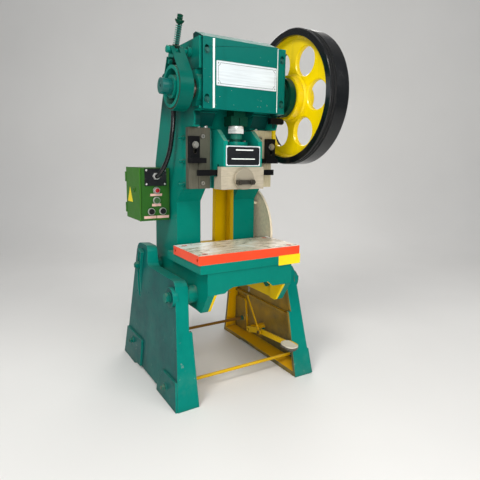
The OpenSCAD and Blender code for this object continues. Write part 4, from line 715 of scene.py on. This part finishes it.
# Bare plate on the cover, with a line round it and a pin at each corner
COVER_Y = -51.0
PLATE_X, PLATE_Z, PLATE_W, PLATE_H, PLATE_T = -124, 1174, 260, 85, 1.6
LINE_HALF, LINE_PAST, LINE_T = 0.55, 0.5, 0.12
LINE = [(16, 7), (244, 7), (244, 11), (250, 17), (253, 17), (253, 68), (250, 68), (244, 74),
        (244, 78), (16, 78), (16, 74), (10, 68), (7, 68), (7, 17), (10, 17), (16, 11)]
bm = bmesh.new()
add_prism(bm, round_rect(PLATE_W, PLATE_H, 3), (PLATE_X, COVER_Y, PLATE_Z), X, Z, PLATE_T)
piece("cover_plate", bm, M["plate"], "frame")
bm = bmesh.new()
for a, b in zip(LINE, LINE[1:] + LINE[:1]):
    along = Vector((b[0] - a[0], b[1] - a[1])).normalized()
    n = Vector((-along.y, along.x)) * LINE_HALF
    e = along * LINE_PAST
    add_prism(bm, [(a[0] - n.x - e.x, a[1] - n.y - e.y), (b[0] - n.x + e.x, b[1] - n.y + e.y),
                   (b[0] + n.x + e.x, b[1] + n.y + e.y), (a[0] + n.x - e.x, a[1] + n.y - e.y)],
              (PLATE_X, COVER_Y - PLATE_T, PLATE_Z), X, Z, LINE_T)
piece("cover_plate_line", bm, M["black_panel"], "frame", smooth=False)
PIN = [(2.4, 0), (2.4, -0.8), (1.6, -1.5), (0, -1.8)]
bm = bmesh.new()
for px, pz in ((8, 77), (252, 77), (8, 8), (252, 8)):
    add_lathe(bm, PIN, (PLATE_X + px, COVER_Y - PLATE_T, PLATE_Z + pz), "y", 16)
piece("cover_plate_pins", bm, M["screw"], "frame")

# White bands on the cover: left edge and width
BAND_Z, BAND_H, BAND_T = 1095, 236, 0.25
bm = bmesh.new()
for x, w in ((-138, 8), (139.5, 3)):
    add_prism(bm, [(0, 0), (w, 0), (w, BAND_H), (0, BAND_H)], (x, COVER_Y, BAND_Z), X, Z, BAND_T)
piece("cover_bands", bm, M["white"], "frame", smooth=False)

# Plate on the slide: a bright border round a black face, with blank raised bars
SLIDE_Y = -38.0
SIGN_X, SIGN_Z, SIGN_W, SIGN_H, SIGN_T = -76, 889, 152, 76, 1.2
BORDER, FACE_T, BAR_T = 4, 0.3, 0.25
RIVET = [(2.6, 0), (2.4, -1.0), (1.4, -1.6), (0, -1.8)]
bm = bmesh.new()
add_prism(bm, round_rect(SIGN_W, SIGN_H, 4), (SIGN_X, SLIDE_Y, SIGN_Z), X, Z, SIGN_T)
piece("slide_plate", bm, M["plate"], "slide")
bm = bmesh.new()
add_prism(bm, round_rect(SIGN_W - 2 * BORDER, SIGN_H - 2 * BORDER, 3),
          (SIGN_X + BORDER, SLIDE_Y - SIGN_T, SIGN_Z + BORDER), X, Z, FACE_T)
piece("slide_plate_face", bm, M["black_panel"], "slide")
bm = bmesh.new()
for px, pz in ((5, 71), (147, 71), (5, 5), (147, 5)):
    add_lathe(bm, RIVET, (SIGN_X + px, SLIDE_Y - SIGN_T, SIGN_Z + pz), "y", 16)
for x0, x1, z0, z1 in ((42, 120, 58, 63), (24, 128, 25, 29)):
    add_prism(bm, round_rect(x1 - x0, z1 - z0, 1.5),
              (SIGN_X + x0, SLIDE_Y - SIGN_T - FACE_T, SIGN_Z + z0), X, Z, BAR_T)
piece("slide_plate_marks", bm, M["white"], "slide")

# Bare yellow plate on the bed
BED_Y = -116
bm = bmesh.new()
add_prism(bm, round_rect(107, 39, 2), (122, BED_Y, 501), X, Z, 1.0)
piece("bed_plate", bm, M["yellow_label"], "frame")

# Control box: socket plate, bare labels, yellow triangle, lamp
BOX_Y = 238.0
SOCKET_T, LABEL_T = 3, 0.4
SOCKET_SCREW = [(4.2, 0), (4.2, -1.2), (3.0, -2.4), (0, -2.8)]
bm = bmesh.new()
add_prism(bm, round_rect(92, 70, 3), (-296, BOX_Y, 803), X, Z, SOCKET_T)
piece("socket_plate", bm, M["black_panel"], "frame")
bm = bmesh.new()
for x, z in ((-289, 866), (-211, 866), (-289, 810), (-211, 810)):
    add_lathe(bm, SOCKET_SCREW, (x, BOX_Y - SOCKET_T, z), "y", 20)
piece("socket_plate_screws", bm, M["bright"], "frame")
bm = bmesh.new()
for x, z, w, h in ((-273, 761, 50, 10), (-266, 719, 38, 11), (-301, 669, 52, 11),
                   (-246, 669, 52, 11)):
    add_prism(bm, round_rect(w, h, 1), (x, BOX_Y, z), X, Z, LABEL_T)
piece("box_labels", bm, M["pink_label"], "frame")
DOOR_X = -313
bm = bmesh.new()
add_prism(bm, [(0, 0), (68, 0), (34, 64)], (DOOR_X, 410, 730), MINUS_Y, Z, LABEL_T)
piece("door_triangle", bm, M["yellow_label"], "box_door", smooth=False)
LAMP_AT = (-247, BOX_Y - 5, 784)
LAMP_RIM = [(12, 0), (13.5, -1.2), (12.8, -4.4), (10.4, -5.2), (9.8, -2.5), (0, -2.5)]
LAMP_LENS = [(9.6, 0), (9.6, -7.6), (8.4, -9.6), (4.6, -10.8), (0, -11.2)]
bm = bmesh.new()
add_lathe(bm, LAMP_RIM, LAMP_AT, "y", 32)
piece("lamp_rim", bm, M["screw"], "frame")
bm = bmesh.new()
add_lathe(bm, LAMP_LENS, LAMP_AT, "y", 32)
piece("lamp_lens", bm, M["red_lens"], "frame")

# Sheathed conduit between the bracket on the head and the gland of the box
CONDUIT = [(-205, 150, 1112), (-205, 150, 1080), (-207, 150, 1040), (-210, 156, 1000),
           (-213, 165, 957), (-219, 175, 920), (-228, 186, 888), (-238, 197, 864),
           (-246, 210, 847), (-249, 222, 842)]
CONDUIT_R = 9.25


def smooth_path(points):
    """Points of a smooth curve that runs through the given ones."""
    steps = 5
    p = [Vector(q) for q in points]
    p = [2 * p[0] - p[1]] + p + [2 * p[-1] - p[-2]]
    out = []
    for a, b, c, d in zip(p, p[1:], p[2:], p[3:]):
        for i in range(steps):
            u = i / steps
            out.append(0.5 * ((2 * b) + (c - a) * u + (2 * a - 5 * b + 4 * c - d) * u * u
                              + (3 * b - a - 3 * c + d) * u ** 3))
    return out + [p[-2]]


def add_tube(bm, points, radius):
    """A round tube along machine points, without twist."""
    seg = 32
    rings = []
    n = Vector(X)
    for i, q in enumerate(points):
        t = (points[min(i + 1, len(points) - 1)] - points[max(i - 1, 0)]).normalized()
        n = (n - t * n.dot(t)).normalized()
        b = t.cross(n)
        rings.append([bm.verts.new(at(*(q + n * x + b * y))) for x, y in circle(radius, seg)])
    for a, b in zip(rings, rings[1:]):
        for k in range(seg):
            bm.faces.new((a[k], a[(k + 1) % seg], b[(k + 1) % seg], b[k]))
    bm.faces.new(list(reversed(rings[0])))
    bm.faces.new(rings[-1])


bm = bmesh.new()
add_tube(bm, smooth_path(CONDUIT), CONDUIT_R)
sheath = piece("conduit_sheath", bm, M["conduit"], "frame")
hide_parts("conduit")

# Grease nipples and a turned stud on the gibs
GIB_TOP = 1031
STUD = [(9, 0), (9, 7), (7, 8), (7, 24), (8.5, 25), (8.5, 31), (5, 34), (0, 35)]
NIPPLE = [(6, 0), (6, 6), (3.2, 7), (3.2, 14), (5, 16), (5, 20), (2.4, 23), (0, 23.6)]
bm = bmesh.new()
add_lathe(bm, STUD, (-111, 62, GIB_TOP), "z", 24)
for x in (-141, 118):
    add_lathe(bm, NIPPLE, (x, 60, GIB_TOP), "z", 20)
piece("grease_nipples", bm, M["bright"], "frame")

# Studio: directions of the camera on the floor, in radians and metres
YAW = 0.5507
right = Vector((math.cos(YAW), -math.sin(YAW), 0))
ahead_flat = Vector((math.sin(YAW), math.cos(YAW), 0))
world_up = Vector((0, 0, 1))


def stage_material():
    """A dull pale floor."""
    t = Tree("pale_floor")
    pale, paler = (0.80, 0.79, 0.77), (0.86, 0.85, 0.83)
    t.set("Base Color", t.mix(t.span(t.noise(0.9, 3, 0.5), 0.2, 0.8), pale, paler))
    t.set("Roughness", 0.9)
    t.set("Specular IOR Level", 0.1)
    return t.mat


# Floor that curves up into a wall behind the machine
STAGE_FRONT, STAGE_BACK, STAGE_HIGH, STAGE_CURVE, STAGE_HALF = -6.0, 3.4, 4.5, 1.2, 7
STAGE_SINK = 0.0005
CURVE_STEPS = 12
profile = [(STAGE_FRONT, 0.0), (STAGE_BACK - STAGE_CURVE, 0.0)]
for i in range(1, CURVE_STEPS + 1):
    a = math.pi / 2 * i / CURVE_STEPS
    profile.append((STAGE_BACK - STAGE_CURVE + STAGE_CURVE * math.sin(a),
                    STAGE_CURVE - STAGE_CURVE * math.cos(a)))
profile.append((STAGE_BACK, STAGE_HIGH))
bm = bmesh.new()
rows = [[bm.verts.new(ahead_flat * d + right * s + world_up * (z - STAGE_SINK))
         for s in (-STAGE_HALF, STAGE_HALF)] for d, z in profile]
for a, b in zip(rows, rows[1:]):
    bm.faces.new((a[0], a[1], b[1], b[0]))
me = bpy.data.meshes.new("stage")
bm.to_mesh(me)
bm.free()
for p in me.polygons:
    p.use_smooth = True
me.materials.append(stage_material())
stage = bpy.data.objects.new("stage", me)
bpy.context.scene.collection.objects.link(stage)


def lamp(name, size, power, where, target, color):
    """An area lamp in metres and watts, turned to a target."""
    light = bpy.data.lights.new(name, "AREA")
    light.shape = "RECTANGLE"
    light.size, light.size_y = size
    light.energy = power
    light.color = color
    ob = bpy.data.objects.new(name, light)
    ob.location = where
    ob.rotation_euler = (Vector(target) - Vector(where)).to_track_quat("-Z", "Y").to_euler()
    bpy.context.scene.collection.objects.link(ob)


lamp("key", (2.6, 1.8), 56, (1.2, -3.4, 3.0), (0, 0, 0.8), (1.0, 0.99, 0.97))
lamp("front", (1.0, 1.0), 30, (-1.1, -2.4, 1.0), (0.05, 0, 0.7), (1.0, 0.99, 0.97))
lamp("fill", (2.0, 2.0), 15, (-3.2, -1.6, 2.2), (0, 0, 0.9), (0.94, 0.98, 1.0))
lamp("wheel", (0.9, 0.9), 46, (-1.9, -1.2, 3.0), (0.27, -0.1, 1.2), (1.0, 0.98, 0.94))
lamp("top", (2.4, 2.4), 15, (0.2, 0.4, 3.9), (0, 0, 0.8), (1, 1, 1))
lamp("rear", (1.6, 2.0), 30, (1.8, 2.6, 2.4), (0, 0, 0.9), (1.0, 0.98, 0.95))

world = bpy.data.worlds.new("world")
bpy.context.scene.world = world
world.use_nodes = True
sky = world.node_tree.nodes["Background"]
sky.inputs["Color"].default_value = (0.92, 0.95, 1.0, 1)
sky.inputs["Strength"].default_value = 0.24

# Camera that sees the machine as the photograph does: angles in radians, eye in the frame's metres
PITCH, ROLL = 0.1612, 0.01337
EYE = Vector((-0.8958 + SHIFT_X, -1.5076 + SHIFT_Y, 0.9191))
PHOTO_PX, FOCAL_PX, CENTRE_PX = 480, 445.3, (243.8, 230.6)
SENSOR_MM = 36.0
ahead = ahead_flat * math.cos(PITCH) - world_up * math.sin(PITCH)
up = world_up * math.cos(PITCH) + ahead_flat * math.sin(PITCH)
# The picture turns one way when the camera rolls the other way
rolled_right = right * math.cos(ROLL) + up * math.sin(ROLL)
rolled_up = up * math.cos(ROLL) - right * math.sin(ROLL)
cam_data = bpy.data.cameras.new("camera")
cam = bpy.data.objects.new("camera", cam_data)
bpy.context.scene.collection.objects.link(cam)
bpy.context.scene.camera = cam
m = Matrix((rolled_right, rolled_up, -ahead)).transposed().to_4x4()
m.translation = EYE
cam.matrix_world = m
cam_data.sensor_width = SENSOR_MM
cam_data.lens = FOCAL_PX / PHOTO_PX * SENSOR_MM
cam_data.shift_x = -(CENTRE_PX[0] - PHOTO_PX / 2) / PHOTO_PX
cam_data.shift_y = (CENTRE_PX[1] - PHOTO_PX / 2) / PHOTO_PX
cam_data.clip_end = 60

bpy.context.scene.view_settings.view_transform = "Standard"
